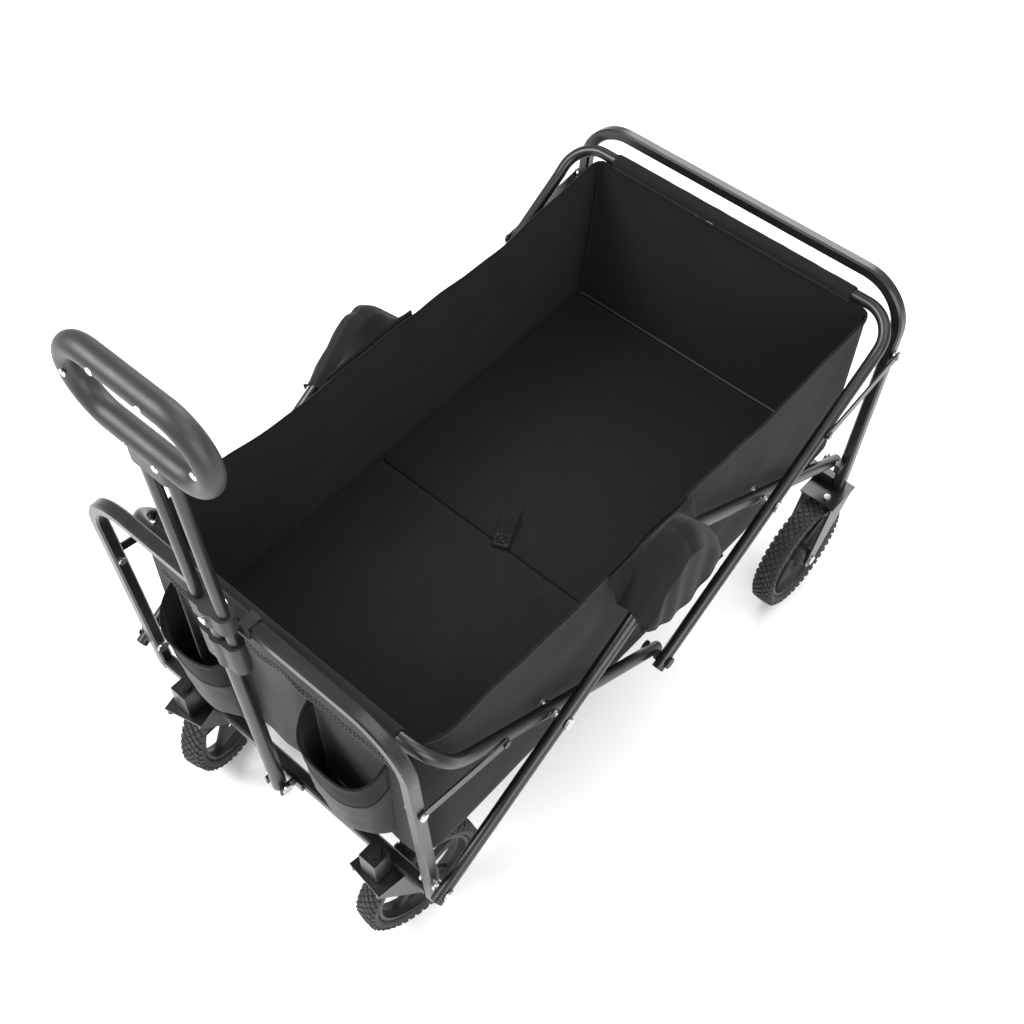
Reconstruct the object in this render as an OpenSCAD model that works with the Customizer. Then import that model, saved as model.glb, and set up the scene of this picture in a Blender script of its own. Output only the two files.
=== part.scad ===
// Folding camp wagon: two inverted-U end frames joined by a two-cell scissor on each side,
// a fabric basket hung from the scissor's two hoops, swivel casters in front, fixed wheels behind.
// Millimetres. +X points to the rear, +Y to the wagon's left side, +Z up, the ground is z = 0.

/* [Wheels] */
// Radius of all four wheels
wheel_r = 89; // [70:1:110]
// Width of a tyre
tyre_w = 32; // [26:1:40]
// Radial depth of a tyre
tyre_depth = 17; // [12:1:22]
// Length of a wheel hub along its axle
hub_w = 40; // [36:1:46]
// Radius of a wheel hub
hub_r = 15; // [12:1:20]
// Number of wheel spokes
spokes = 5; // [4:1:8]
// Space between the top of a wheel and the plate above it
wheel_headroom = 8; // [6:1:20]

/* [Casters and forks] */
// Thickness of the fork sheet
fork_sheet = 3; // [2:0.5:4]
// Gap between a hub's end and the fork cheek
hub_gap = 2; // [1:0.5:4]
// Length of a front fork's top plate
caster_plate_l = 40; // [34:1:46]
// Length of a rear fork's top plate
rear_plate_l = 56; // [48:1:68]
// Overhang of a top plate beyond the cheeks
plate_lip = 3; // [2:0.5:6]
// Distance from a kingpin to its wheel's axle
caster_trail = 57; // [50:1:66]
// Distance of each kingpin from the centre line
kingpin_y = 166; // [140:1:190]
// Turn of the left caster at rest, in degrees
left_turn = 14; // [-20:1:20]
// Turn of the right caster at rest, in degrees
right_turn = -7; // [-20:1:20]
// Side of the square kingpin housing
housing_side = 26; // [22:1:32]
// Height of the kingpin housing
housing_h = 44; // [30:1:52]
// Diameter of the kingpin
kingpin_d = 10; // [8:1:12]
// Thickness of the swivel race under a housing
race_h = 3; // [2:0.5:5]
// Distance of each rear wheel from the centre line
rear_wheel_y = 246; // [230:1:300]
// Distance of a rear axle ahead of its frame leg's foot
rear_axle_ahead = 62; // [52:1:74]

/* [Scissor] */
// Horizontal reach of an arm, from an end pivot to the middle joints
arm_reach = 407; // [335:1:490]
// Rise of an arm with the wagon open
arm_rise = 248; // [205:1:300]
// Height of the end pivots above the feet of the frames
pivot_up = 49; // [40:1:60]
// Slope of the arms with the wagon folded, in degrees
folded_slope = 80; // [77:1:81]
// Distance of the inner side tubes from the centre line
inner_level = 238; // [230:1:286]
// Gap between the inner and the outer side tubes
level_gap = 4; // [3.5:0.5:8]
// Diameter of the round side tubes
tube_d = 16; // [13:0.5:19]
// Wall of every steel tube
tube_wall = 1.2; // [0.8:0.1:2]
// Length of a side tube beyond an end pivot
tube_tail = 12; // [10:1:18]
// Diameter of the scissor's pivot pins
pin_d = 8; // [6:0.5:9]
// Running clearance of a pin, on the radius
pin_play = 0.05; // [0.02:0.01:0.1]
// Extra clearance of the open lower middle joint, on the radius
open_joint_play = 0.5; // [0.3:0.1:1]

/* [Hoops] */
// Straight leg of the front hoop, from the lower middle joint
front_hoop_leg = 388; // [325:1:465]
// Straight leg of the rear hoop, from the lower middle joint
rear_hoop_leg = 453; // [380:1:535]
// Upward bend at the top of the front hoop's legs, in degrees
front_hoop_bend = 20.5; // [17:0.5:20.5]
// Upward bend at the top of the rear hoop's legs, in degrees
rear_hoop_bend = 7; // [6.5:0.5:12]
// Radius of that bend
hoop_bend_r = 100; // [60:5:140]
// Radius of a hoop's corners
hoop_corner_r = 44; // [30:1:60]
// Straight stretch between a hoop's bend and its corner
hoop_straight = 6; // [2:1:20]

/* [End frames] */
// Side of the square frame tube
bar_side = 16; // [13:0.5:19]
// Chamfer along the edges of the frame tube
bar_chamfer = 2.5; // [1:0.5:4]
// Height of the front frame above its feet
front_frame_h = 402; // [350:1:480]
// Height of the rear frame above its feet
rear_frame_h = 360; // [320:1:430]
// Lean of the open front frame, in degrees
front_lean = 2.8; // [0:0.1:6]
// Lean of the open rear frame, in degrees
rear_lean = 7.4; // [0:0.1:10]
// Radius of the front frame's corners
front_corner_r = 70; // [40:1:90]
// Radius of the rear frame's corners
rear_corner_r = 65; // [40:1:90]
// Distance of a rear leg behind its pivot
rear_leg_back = 12.5; // [12.5:0.5:18]
// Gap between a rear leg and the inner side tube
leg_gap = 1; // [0.6:0.1:3]

/* [Links] */
// Distance from the front crossing to the link's hoop end
front_link_b = 99; // [90:1:115]
// Distance from the rear crossing to the link's hoop end
rear_link_b = 110; // [95:1:120]
// Width of a link bar
link_w = 13; // [11:1:16]
// Thickness of a link bar
link_t = 2.4; // [1.5:0.1:2.6]
// Diameter of the links' rivets
link_pin_d = 6; // [5:0.5:7]

/* [Handle] */
// Diameter of the lower handle tube
lower_tube_d = 19; // [16:0.5:22]
// Diameter of the two upper handle tubes
upper_tube_d = 13; // [11:0.5:15]
// Distance between the two upper handle tubes
upper_spacing = 38; // [36:1:48]
// Distance from the handle pivot to the grip's centre
handle_l = 722; // [640:1:860]
// Height of the slider on the lower tube
slider_h = 50; // [36:1:60]
// Height of the connector on top of the lower tube
connector_h = 26; // [20:1:34]
// Depth of the slider and of the connector, front to back
block_depth = 27; // [25:1:34]
// Space between the front bar and the slider or connector
bar_space = 3; // [2:0.5:12]
// Outside width of the grip loop
grip_w = 200; // [160:1:230]
// Outside height of the grip loop
grip_h = 108; // [90:1:130]
// Diameter of the grip's bar
grip_d = 25; // [20:1:30]
// Depth of the grip's sockets on the upper tubes
socket_l = 34; // [24:1:44]
// Half width of the handle bracket's gap
bracket_half_gap = 11; // [10.5:0.5:14]
// Distance from the front crossbar to the handle pivot
pivot_reach = 15; // [13:1:24]

/* [Basket] */
// Thickness of the basket fabric
cloth_t = 2.5; // [1.5:0.5:4]
// Space between the basket and the inner side tubes
cloth_gap = 4; // [3.5:0.5:8]
// Height of the basket's underside above the lower middle joint
floor_up = 16; // [12:1:30]
// Narrowing of the basket from its floor to its rim, on each side
rim_inset = 3; // [0:1:15]
// Setback of the basket floor's rear edge from the rear hem
rear_setback = 27; // [0:1:50]
// Thickness of the floor board
board_t = 6; // [3:0.5:10]
// Offset of the floor's fold line from the middle joints
fold_offset = -18; // [-40:1:40]
// Length of the pull tab
tab_l = 70; // [50:1:90]
// Width of the pull tab
tab_w = 24; // [18:1:36]
// Turn of the pull tab, in degrees
tab_turn = 25; // [0:1:90]
// Height of the flap below the front hem
flap_h = 62; // [40:1:80]
// Width of a cup pocket
pocket_w = 124; // [100:1:134]
// Distance of a cup pocket from the centre line
pocket_y = 52; // [44:1:60]
// Depth of a cup pocket, front to back
pocket_depth = 50; // [35:1:60]
// Height of a cup pocket
pocket_h = 160; // [120:1:175]
// Height of a pocket's bottom above the kingpin housings
pocket_up = 9; // [7:1:20]
// Length of a hand-hold flap along the side
handhold_l = 172; // [130:1:200]
// Drop of a hand-hold flap over the side tubes
handhold_drop = 112; // [80:1:130]
// Offset of a hand-hold flap from the middle joints
handhold_offset = -16; // [-30:1:30]

/* [Hidden] */
$fn = 48;
eps = 0.01;
seat_gap = 0.3;
slack = 0.1;
lug_overlap = 2;
// A hoop is made up of two legs and a bight, butted end to end at this gap
hoop_seam = 0.02;

tube_r = tube_d / 2;
bar_r = bar_side / 2;
pin_r = pin_d / 2;
pin_bore_r = pin_r + pin_play;
open_bore_r = pin_r + open_joint_play;
outer_level = inner_level + tube_d + level_gap;
pin_head_r = pin_r + 4;
pin_head_h = 3;
spacer_r = pin_r + 3;
plug_l = 5;

// Scissor geometry in the XZ plane, with x measured from the middle joints
slope = atan2(arm_rise, arm_reach);
arm_l = norm([arm_reach, arm_rise]);
half_arm = arm_l / 2;
fork_z = 2 * wheel_r + wheel_headroom;
foot_z = fork_z + fork_sheet;
pivot_z = foot_z + pivot_up;
top_z = pivot_z + arm_rise;
cross_z = pivot_z + arm_rise / 2;

// Hoops: where each hem tube runs
hoop_end = hoop_straight + hoop_corner_r;
function hoop_along(leg, bend) = leg + hoop_bend_r * sin(bend) + hoop_end * cos(bend);
function hoop_lift(bend) = hoop_bend_r * (1 - cos(bend)) + hoop_end * sin(bend);
function hem_x(leg, bend) = hoop_along(leg, bend) * cos(slope) - hoop_lift(bend) * sin(slope);
function hem_z(leg, bend) =
    pivot_z + hoop_along(leg, bend) * sin(slope) + hoop_lift(bend) * cos(slope);
front_hem_x = -hem_x(front_hoop_leg, front_hoop_bend);
front_hem_z = hem_z(front_hoop_leg, front_hoop_bend);
rear_hem_x = hem_x(rear_hoop_leg, rear_hoop_bend);
rear_hem_z = hem_z(rear_hoop_leg, rear_hoop_bend);

// End frames
front_half = inner_level;
rear_half = inner_level + tube_r + leg_gap + bar_r;
front_up = front_frame_h - bar_r - pivot_up;
rear_up = rear_frame_h - bar_r - pivot_up;
rear_down = (pivot_up - bar_r * sin(rear_lean) - slack) / cos(rear_lean);
rear_leg_x = arm_reach + rear_leg_back;
function front_leg_at(z) = -arm_reach - (z - pivot_z) * tan(front_lean);
function rear_leg_at(z) = rear_leg_x + (z - pivot_z) * tan(rear_lean);
crossbar_z = foot_z + bar_r;
front_bar_x = front_leg_at(crossbar_z);
rear_bar_x = rear_leg_at(crossbar_z);
top_bar_z = pivot_z + front_up * cos(front_lean);
top_bar_x = -arm_reach - front_up * sin(front_lean);

// Links: the leg pivot that lets each frame stand square when the wagon is folded
function link_up(b, lean) =
    let (p = half_arm - b, q = half_arm + b)
    (p * p * (pow(cos(folded_slope), 2) - pow(cos(slope), 2))
        + q * q * (pow(sin(folded_slope), 2) - pow(sin(slope), 2)))
    / (2 * (q * sin(folded_slope) + p * cos(slope) * sin(lean) - q * sin(slope) * cos(lean)));
function link_rise(b, lean) =
    (half_arm + b) * sin(slope) - link_up(b, lean) * cos(lean);
function link_run(b, lean) =
    (half_arm - b) * cos(slope) + link_up(b, lean) * sin(lean);
link_pin_r = link_pin_d / 2;
link_head_r = link_pin_r + 2;
link_head_h = 2;
link_bore_r = link_pin_r + pin_play;
front_link_y = max(front_half + bar_r, inner_level + tube_r) + seat_gap;
rear_link_y = outer_level + tube_r + seat_gap;

// Casters and forks
kingpin_x = front_bar_x - bar_r - housing_side / 2;
kingpin_r = kingpin_d / 2;
housing_z = foot_z - fork_sheet + slack + race_h;
caster_z = housing_z - race_h;
caster_head = 5;
race_in = 1;
bolt_in = 12;
bolt_head_h = 4;
washer_h = 3;
foot_t = 3;
foot_l = 15;
cheek_y = hub_w / 2 + hub_gap;
fork_half = cheek_y + fork_sheet;
cheek_r = 13;
cheek_skirt = 8;
rear_axle_x = rear_leg_at(foot_z) - rear_axle_ahead;
rear_plate_x = rear_leg_at(foot_z) - rear_plate_l + bar_side;
rim_r = wheel_r - tyre_depth;
rim_t = 4;
rim_in = 5;
shoulder = 4;
crown = 1;
spoke_w = 13;
spoke_t = 10;

// Handle, along its own axis from the pivot
handle_x = front_bar_x - bar_r - pivot_reach;
handle_z = crossbar_z;
lower_r = lower_tube_d / 2;
upper_r = upper_tube_d / 2;
clip_t = 2.2;
clip_h = 18;
clip_w = 14;
clip_side = 15;
clip_end = 9;
bracket_t = 3;
bracket_w = 56;
bracket_nose = 9;
connector_floor = 4;
clip_gap = 0.5;
handle_lean = asin((handle_x - (top_bar_x - bar_r - clip_gap - clip_t - lower_r))
    / (top_bar_z - handle_z));
handle_tail = 6;
bar_s = (top_bar_z - handle_z) / cos(handle_lean);
slider_s = bar_s - bar_side - bar_space - slider_h;
connector_s = bar_s + bar_r + bar_space;
upper_y = upper_spacing / 2;
grip_r = grip_d / 2;
grip_bend_r = grip_h / 2 - grip_r;
grip_half_bar = grip_w / 2 - grip_r - grip_bend_r;
grip_low_s = handle_l - grip_bend_r;
block_r = block_depth / 2;
side_block_r = upper_r + 4;

// Basket
cloth_half = inner_level - tube_r - cloth_gap;
corner_cut = 0.55 * hoop_corner_r;
floor_z = pivot_z + floor_up;
panel_t = 2;
board_play = 2;
fold_gap = 2;
sliver = 1;
foot_cut = 2;
hem_r = tube_r + seat_gap;
hem_out_r = hem_r + 1.5;
hem_half = inner_level - hoop_corner_r - 2;
front_rim_z = front_hem_z - hem_out_r - seat_gap;
rear_rim_z = rear_hem_z - hem_out_r - seat_gap;
front_wall_x = front_hem_x - cloth_t / 2;
rear_wall_x = rear_hem_x + cloth_t / 2;
floor_rear_x = rear_wall_x - rear_setback;
board_z = floor_z + cloth_t + seat_gap;
board_top_z = board_z + board_t;
panel_x = front_wall_x - seat_gap;
pocket_z = housing_z + housing_h + pocket_up;
cap_t = 2.5;
skirt_y = outer_level + tube_r + slack + pin_head_h + seat_gap;
handhold_z = top_z + (tube_tail + cap_t) * sin(slope) + tube_r * cos(slope) + seat_gap;

// The origin is under the middle of the whole wagon's box
front_end = handle_x - (handle_l + grip_bend_r) * sin(handle_lean) - grip_r;
rear_end = rear_leg_x + rear_up * sin(rear_lean) + bar_r * cos(rear_lean)
    + (bar_r - bar_chamfer) * sin(rear_lean);
mid_x = -(front_end + rear_end) / 2;

STEEL = "#1d1e20";
PLASTIC = "#151618";
RUBBER = "#232423";
ZINC = "#b9bcc0";
CLOTH = "#1a1b1d";
GREY_CLOTH = "#3b3c3e";

module centred() {
    translate([mid_x, 0, 0]) children();
}

module both_sides() {
    for (side = [0, 1]) mirror([0, side, 0]) children();
}

// A solid rod along Y from y0 to y1
module rod(y0, y1, r) {
    translate([0, y1, 0]) rotate([90, 0, 0]) cylinder(h = y1 - y0, r = r);
}

// A pin along Y with a head at each end, centred on x = z = 0
module headed_pin(y0, y1, r, head_r) {
    rod(y0 - pin_head_h, y1 + pin_head_h, r);
    rod(y0 - pin_head_h, y0, head_r);
    rod(y1, y1 + pin_head_h, head_r);
}

// Washer that fills the gap between two side tubes
module spacer() {
    difference() {
        rod(inner_level + tube_r + seat_gap, outer_level - tube_r - seat_gap, spacer_r);
        rod(inner_level, outer_level, pin_r - eps);
    }
}

module pipe(l, d) {
    difference() {
        cylinder(h = l, d = d);
        translate([0, 0, -1]) cylinder(h = l + 2, d = d - 2 * tube_wall);
    }
}

// An arc of a side tube: starts at the origin heading +X and turns towards +Y
module pipe_bend(radius, angle) {
    translate([0, radius, 0]) rotate([0, 0, -90])
        rotate_extrude(angle = angle) translate([radius, 0]) difference() {
            circle(d = tube_d);
            circle(d = tube_d - 2 * tube_wall);
        }
}

module bar_profile(side) {
    half = side / 2;
    flat = half - bar_chamfer * side / bar_side;
    polygon([[half, -flat], [half, flat], [flat, half], [-flat, half],
        [-half, flat], [-half, -flat], [-flat, -half], [flat, -half]]);
}

// ---------------------------------------------------------------- end frames

// Outline of an inverted U in the YZ plane, feet at z = -down and top bar at z = up
module u_path(half, down, up, corner_r, side) {
    both_sides() {
        translate([0, half, -down]) linear_extrude(down + up - corner_r) bar_profile(side);
        translate([0, half - corner_r, up - corner_r]) rotate([90, 0, 90])
            rotate_extrude(angle = 90) translate([corner_r, 0]) bar_profile(side);
        translate([0, half - corner_r, up]) rotate([90, 0, 0])
            linear_extrude(half - corner_r) bar_profile(side);
    }
}

module u_frame(half, down, up, corner_r, holes) {
    difference() {
        u_path(half, down, up, corner_r, bar_side);
        u_path(half, down + 1, up, corner_r, bar_side - 2 * tube_wall);
        for (hole = holes) translate([hole[2], 0, hole[0]])
            both_sides() rod(half - bar_side, half + bar_side, hole[1]);
    }
}

module at_front_frame() {
    centred() translate([-arm_reach, 0, pivot_z]) rotate([0, -front_lean, 0]) children();
}

module at_rear_frame() {
    centred() translate([rear_leg_x, 0, pivot_z]) rotate([0, rear_lean, 0]) children();
}

module front_frame() {
    color(STEEL) at_front_frame()
        u_frame(front_half, pivot_up, front_up, front_corner_r,
            [[0, pin_bore_r, 0], [link_up(front_link_b, front_lean), link_bore_r, 0]]);
}

module rear_frame() {
    color(STEEL) at_rear_frame()
        u_frame(rear_half, rear_down, rear_up, rear_corner_r,
            [[link_up(rear_link_b, rear_lean), link_bore_r, 0]]);
    // Lug that holds the rear arm's pivot in front of the leg
    color(STEEL) centred() translate([arm_reach, 0, pivot_z]) both_sides() difference() {
        translate([-pin_head_r, rear_half - bar_r, -pin_head_r])
            cube([rear_leg_back - bar_r + pin_head_r + lug_overlap, bar_r, 2 * pin_head_r]);
        rod(rear_half - bar_side, rear_half + bar_side, pin_bore_r);
    }
}

module crossbar(half, x) {
    centred() translate([x, half, crossbar_z]) rotate([90, 0, 0]) difference() {
        linear_extrude(2 * half) bar_profile(bar_side);
        translate([0, 0, -1]) linear_extrude(2 * half + 2) bar_profile(bar_side - 2 * tube_wall);
    }
}

module front_crossbar() {
    color(STEEL) crossbar(front_half - bar_r, front_bar_x);
}

module rear_crossbar() {
    color(STEEL) crossbar(rear_half - bar_r, rear_bar_x);
}

// Plugs that close the front legs' open ends
module front_feet() {
    color(PLASTIC) at_front_frame() both_sides() translate([0, front_half, -pivot_up - foot_t]) {
        linear_extrude(foot_t - slack) bar_profile(bar_side);
        linear_extrude(foot_l) bar_profile(bar_side - 2 * tube_wall - 2 * slack);
    }
}

// ---------------------------------------------------------------- side tubes

// Straight side tube along +Z with cross bores at the given distances
module side_tube(level, bores) {
    translate([0, level, 0]) difference() {
        translate([0, 0, -tube_tail]) pipe(arm_l + 2 * tube_tail, tube_d);
        for (s = bores) translate([0, 0, s]) rod(-tube_d, tube_d, pin_bore_r);
    }
}

module arm_caps(level) {
    for (s = [-tube_tail, arm_l + tube_tail]) translate([0, level, s])
        mirror([0, 0, s < 0 ? 1 : 0]) {
            cylinder(h = cap_t, r = tube_r);
            translate([0, 0, -plug_l]) cylinder(h = plug_l, r = tube_r - tube_wall - slack);
        }
}

module at_front_arm() {
    centred() translate([-arm_reach, 0, pivot_z]) rotate([0, 90 - slope, 0]) children();
}

module at_rear_arm() {
    centred() translate([arm_reach, 0, pivot_z]) rotate([0, slope - 90, 0]) children();
}

module front_arms() {
    color(STEEL) at_front_arm() both_sides() side_tube(outer_level, [0, half_arm, arm_l]);
}

module rear_arms() {
    color(STEEL) at_rear_arm() both_sides() side_tube(inner_level, [0, half_arm, arm_l]);
}

module front_arm_caps() {
    color(PLASTIC) at_front_arm() both_sides() arm_caps(outer_level);
}

module rear_arm_caps() {
    color(PLASTIC) at_rear_arm() both_sides() arm_caps(inner_level);
}

// Frame past a hoop's bend: X along the rest of the leg
module past_bend(leg, bend) {
    translate([leg, 0, hoop_bend_r]) rotate([0, -bend, 0]) translate([0, 0, -hoop_bend_r]) children();
}

// A hoop's tube: X along the legs, Z square to them
module hoop_tube(level, leg, bend) {
    side = level - hoop_corner_r;
    both_sides() translate([0, level, 0]) {
        translate([-tube_tail, 0, 0]) rotate([0, 90, 0]) pipe(leg + tube_tail, tube_d);
        translate([leg, 0, 0]) rotate([90, 0, 0]) pipe_bend(hoop_bend_r, bend);
        past_bend(leg, bend) {
            translate([hoop_seam, 0, 0]) rotate([0, 90, 0]) pipe(hoop_straight - hoop_seam, tube_d);
            translate([hoop_straight, 0, 0]) mirror([0, 1, 0]) pipe_bend(hoop_corner_r, 90);
        }
    }
    past_bend(leg, bend) translate([hoop_end, side, 0]) rotate([90, 0, 0]) pipe(2 * side, tube_d);
}

module hoop(level, leg, bend, joint_r, link_s) {
    difference() {
        hoop_tube(level, leg, bend);
        both_sides() {
            rod(level - tube_d, level + tube_d, joint_r);
            translate([half_arm, 0, 0]) rod(level - tube_d, level + tube_d, pin_bore_r);
            translate([link_s, 0, 0]) rod(level, level + tube_d, link_bore_r);
        }
    }
}

module at_front_hoop() {
    centred() translate([0, 0, pivot_z]) mirror([1, 0, 0]) rotate([0, -slope, 0]) children();
}

module at_rear_hoop() {
    centred() translate([0, 0, pivot_z]) rotate([0, -slope, 0]) children();
}

module hoop_caps(level) {
    both_sides() translate([-tube_tail, level, 0]) rotate([0, -90, 0]) {
        cylinder(h = cap_t, r = tube_r);
        translate([0, 0, -plug_l]) cylinder(h = plug_l, r = tube_r - tube_wall - slack);
    }
}

module front_hoop() {
    color(STEEL) at_front_hoop()
        hoop(inner_level, front_hoop_leg, front_hoop_bend, open_bore_r, half_arm + front_link_b);
}

module rear_hoop() {
    color(STEEL) at_rear_hoop()
        hoop(outer_level, rear_hoop_leg, rear_hoop_bend, pin_bore_r, half_arm + rear_link_b);
}

module front_hoop_caps() {
    color(PLASTIC) at_front_hoop() hoop_caps(inner_level);
}

module rear_hoop_caps() {
    color(PLASTIC) at_rear_hoop() hoop_caps(outer_level);
}

// ---------------------------------------------------------------- pins of the scissor

module pin_at(x, z) {
    centred() translate([x, 0, z]) both_sides() children();
}

module level_pin() {
    headed_pin(inner_level - tube_r - slack, outer_level + tube_r + slack, pin_r, pin_head_r);
    spacer();
}

module front_cross_pins() {
    color(ZINC) pin_at(-arm_reach / 2, cross_z) level_pin();
}

module rear_cross_pins() {
    color(ZINC) pin_at(arm_reach / 2, cross_z) level_pin();
}

module top_joint_pins() {
    color(PLASTIC) pin_at(0, top_z) level_pin();
}

module lower_joint_pins() {
    color(PLASTIC) pin_at(0, pivot_z) level_pin();
}

module front_arm_pins() {
    color(ZINC) pin_at(-arm_reach, pivot_z) {
        headed_pin(front_half - bar_r - slack, outer_level + tube_r + slack, pin_r, pin_head_r);
        difference() {
            rod(front_half + bar_r + slack, outer_level - tube_r - seat_gap, spacer_r);
            rod(front_half, outer_level, pin_r - eps);
        }
    }
}

module rear_arm_pins() {
    inner = inner_level - tube_r - slack;
    color(ZINC) pin_at(arm_reach, pivot_z) {
        rod(inner - pin_head_h, rear_half, pin_r);
        rod(inner - pin_head_h, inner, pin_head_r);
    }
}

module front_link_pins() {
    color(ZINC) at_front_frame() translate([0, 0, link_up(front_link_b, front_lean)]) both_sides()
        headed_pin(front_half - bar_r - slack, front_link_y + link_t + slack, link_pin_r, link_head_r);
}

module rear_link_pins() {
    color(ZINC) at_rear_frame() translate([0, 0, link_up(rear_link_b, rear_lean)])
        both_sides() {
            headed_pin(rear_half - bar_r - slack, rear_link_y + link_t + slack, link_pin_r, link_head_r);
            rod(rear_half + bar_r + slack, rear_link_y - slack, link_head_r + 1);
        }
}

// ---------------------------------------------------------------- link bars

// Flat bar from the leg pivot to the hoop end, with its own rivet at the hoop end
module link_bar(run, rise, y) {
    l = norm([run, rise]);
    rotate([0, -atan2(rise, run), 0]) translate([0, y + link_t, 0]) rotate([90, 0, 0])
        difference() {
            linear_extrude(link_t) {
                translate([0, -link_w / 2]) square([l, link_w]);
                circle(d = link_w);
                translate([l, 0]) circle(d = link_w);
            }
            translate([0, 0, -1]) cylinder(h = link_t + 2, r = link_bore_r);
        }
    rotate([0, -atan2(rise, run), 0]) translate([l, 0, 0])
        rod(y + link_t - eps, y + link_t + link_head_h, link_head_r);
}

module front_links() {
    up = link_up(front_link_b, front_lean);
    color(STEEL) centred()
        translate([-arm_reach - up * sin(front_lean), 0, pivot_z + up * cos(front_lean)])
            both_sides() link_bar(link_run(front_link_b, front_lean),
                link_rise(front_link_b, front_lean), front_link_y);
}

module rear_links() {
    up = link_up(rear_link_b, rear_lean);
    color(STEEL) centred()
        translate([rear_leg_x + up * sin(rear_lean), 0, pivot_z + up * cos(rear_lean)])
            both_sides() mirror([1, 0, 0])
                link_bar(link_run(rear_link_b, rear_lean) + rear_leg_back,
                    link_rise(rear_link_b, rear_lean), rear_link_y);
}

// ---------------------------------------------------------------- wheels

module tyre() {
    half = tyre_w / 2;
    rotate([90, 0, 0]) rotate_extrude($fn = 96) polygon([
        [rim_r + slack, -half + shoulder], [rim_r + shoulder, -half], [wheel_r - shoulder, -half],
        [wheel_r - crown, -half + shoulder], [wheel_r, 0], [wheel_r - crown, half - shoulder],
        [wheel_r - shoulder, half], [rim_r + shoulder, half], [rim_r + slack, half - shoulder]]);
}

module rim() {
    half = tyre_w / 2 - rim_in;
    difference() {
        union() {
            rotate([90, 0, 0]) rotate_extrude($fn = 96)
                translate([rim_r - rim_t, -half]) square([rim_t, 2 * half]);
            rod(-hub_w / 2, hub_w / 2, hub_r);
            for (i = [0 : spokes - 1]) rotate([0, i * 360 / spokes, 0])
                translate([0, -spoke_t / 2, -spoke_w / 2]) cube([rim_r - rim_t / 2, spoke_t, spoke_w]);
        }
        rod(-hub_w, hub_w, pin_bore_r);
    }
}

module wheel_axle() {
    headed_pin(-fork_half - slack, fork_half + slack, pin_r, spacer_r);
}

// Cheek of a fork: outline in XZ between the plate's ends and the axle at axle_x
module cheek(front, rear, axle_x, plate_z) {
    rotate([90, 0, 0]) translate([0, 0, -fork_sheet / 2]) difference() {
        linear_extrude(fork_sheet) {
            polygon([[front, plate_z], [front, plate_z - cheek_skirt], [axle_x - cheek_r, wheel_r],
                [axle_x + cheek_r, wheel_r], [rear, plate_z - cheek_skirt], [rear, plate_z]]);
            translate([axle_x, wheel_r]) circle(r = cheek_r);
        }
        translate([axle_x, wheel_r, -1]) cylinder(h = fork_sheet + 2, r = pin_bore_r);
    }
}

module fork(front, rear, axle_x, plate_z) {
    both_sides() translate([0, fork_half - fork_sheet / 2, 0])
        cheek(front, rear, axle_x, plate_z + eps);
    translate([front, -fork_half - plate_lip, plate_z])
        cube([rear - front, 2 * (fork_half + plate_lip), fork_sheet]);
}

// ---------------------------------------------------------------- casters

module at_kingpin(side, turn) {
    centred() translate([kingpin_x, side * kingpin_y, 0]) rotate([0, 0, turn]) children();
}

module caster_fork() {
    half_l = caster_plate_l / 2;
    plate_z = caster_z - fork_sheet;
    difference() {
        fork(-half_l, half_l, caster_trail, plate_z);
        translate([0, 0, plate_z - 1]) cylinder(h = fork_sheet + 2, r = kingpin_r + pin_play);
    }
}

module kingpin() {
    top = housing_z + housing_h;
    head_r = kingpin_r + 3;
    translate([0, 0, caster_z - fork_sheet - slack])
        cylinder(h = top + caster_head + 1 - caster_z + fork_sheet, r = kingpin_r);
    translate([0, 0, caster_z - fork_sheet - caster_head - slack]) cylinder(h = caster_head, r = head_r);
    translate([0, 0, top + seat_gap]) cylinder(h = caster_head, r = head_r);
    translate([0, 0, caster_z + slack])
        cylinder(h = race_h - 2 * slack, r = housing_side / 2 - race_in);
}

module caster_housings() {
    color(STEEL) centred() both_sides() translate([kingpin_x, kingpin_y, housing_z]) difference() {
        translate([-housing_side / 2, -housing_side / 2, 0])
            cube([housing_side, housing_side, housing_h]);
        translate([0, 0, -1]) cylinder(h = housing_h + 2, r = kingpin_r + pin_play);
    }
}

module caster_fork_left() { color(STEEL) at_kingpin(1, left_turn) caster_fork(); }
module caster_fork_right() { color(STEEL) at_kingpin(-1, right_turn) caster_fork(); }
module kingpin_left() { color(ZINC) at_kingpin(1, left_turn) kingpin(); }
module kingpin_right() { color(ZINC) at_kingpin(-1, right_turn) kingpin(); }

module at_caster_axle(side, turn) {
    at_kingpin(side, turn) translate([caster_trail, 0, wheel_r]) children();
}

module front_axle_left() { color(ZINC) at_caster_axle(1, left_turn) wheel_axle(); }
module front_axle_right() { color(ZINC) at_caster_axle(-1, right_turn) wheel_axle(); }
module front_rim_left() { color(PLASTIC) at_caster_axle(1, left_turn) rim(); }
module front_rim_right() { color(PLASTIC) at_caster_axle(-1, right_turn) rim(); }
module front_tyre_left() { color(RUBBER) at_caster_axle(1, left_turn) tyre(); }
module front_tyre_right() { color(RUBBER) at_caster_axle(-1, right_turn) tyre(); }

// ---------------------------------------------------------------- rear wheels

module at_rear_wheel(side) {
    centred() translate([rear_axle_x, side * rear_wheel_y, wheel_r]) children();
}

module rear_forks() {
    color(STEEL) for (side = [-1, 1]) difference() {
        at_rear_wheel(side) translate([-rear_axle_x, 0, -wheel_r])
            fork(rear_plate_x, rear_plate_x + rear_plate_l, rear_axle_x, fork_z);
        centred() translate([rear_plate_x + bolt_in, side * rear_half, fork_z - 1])
            cylinder(h = fork_sheet + 2, r = link_bore_r);
    }
}

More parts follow.
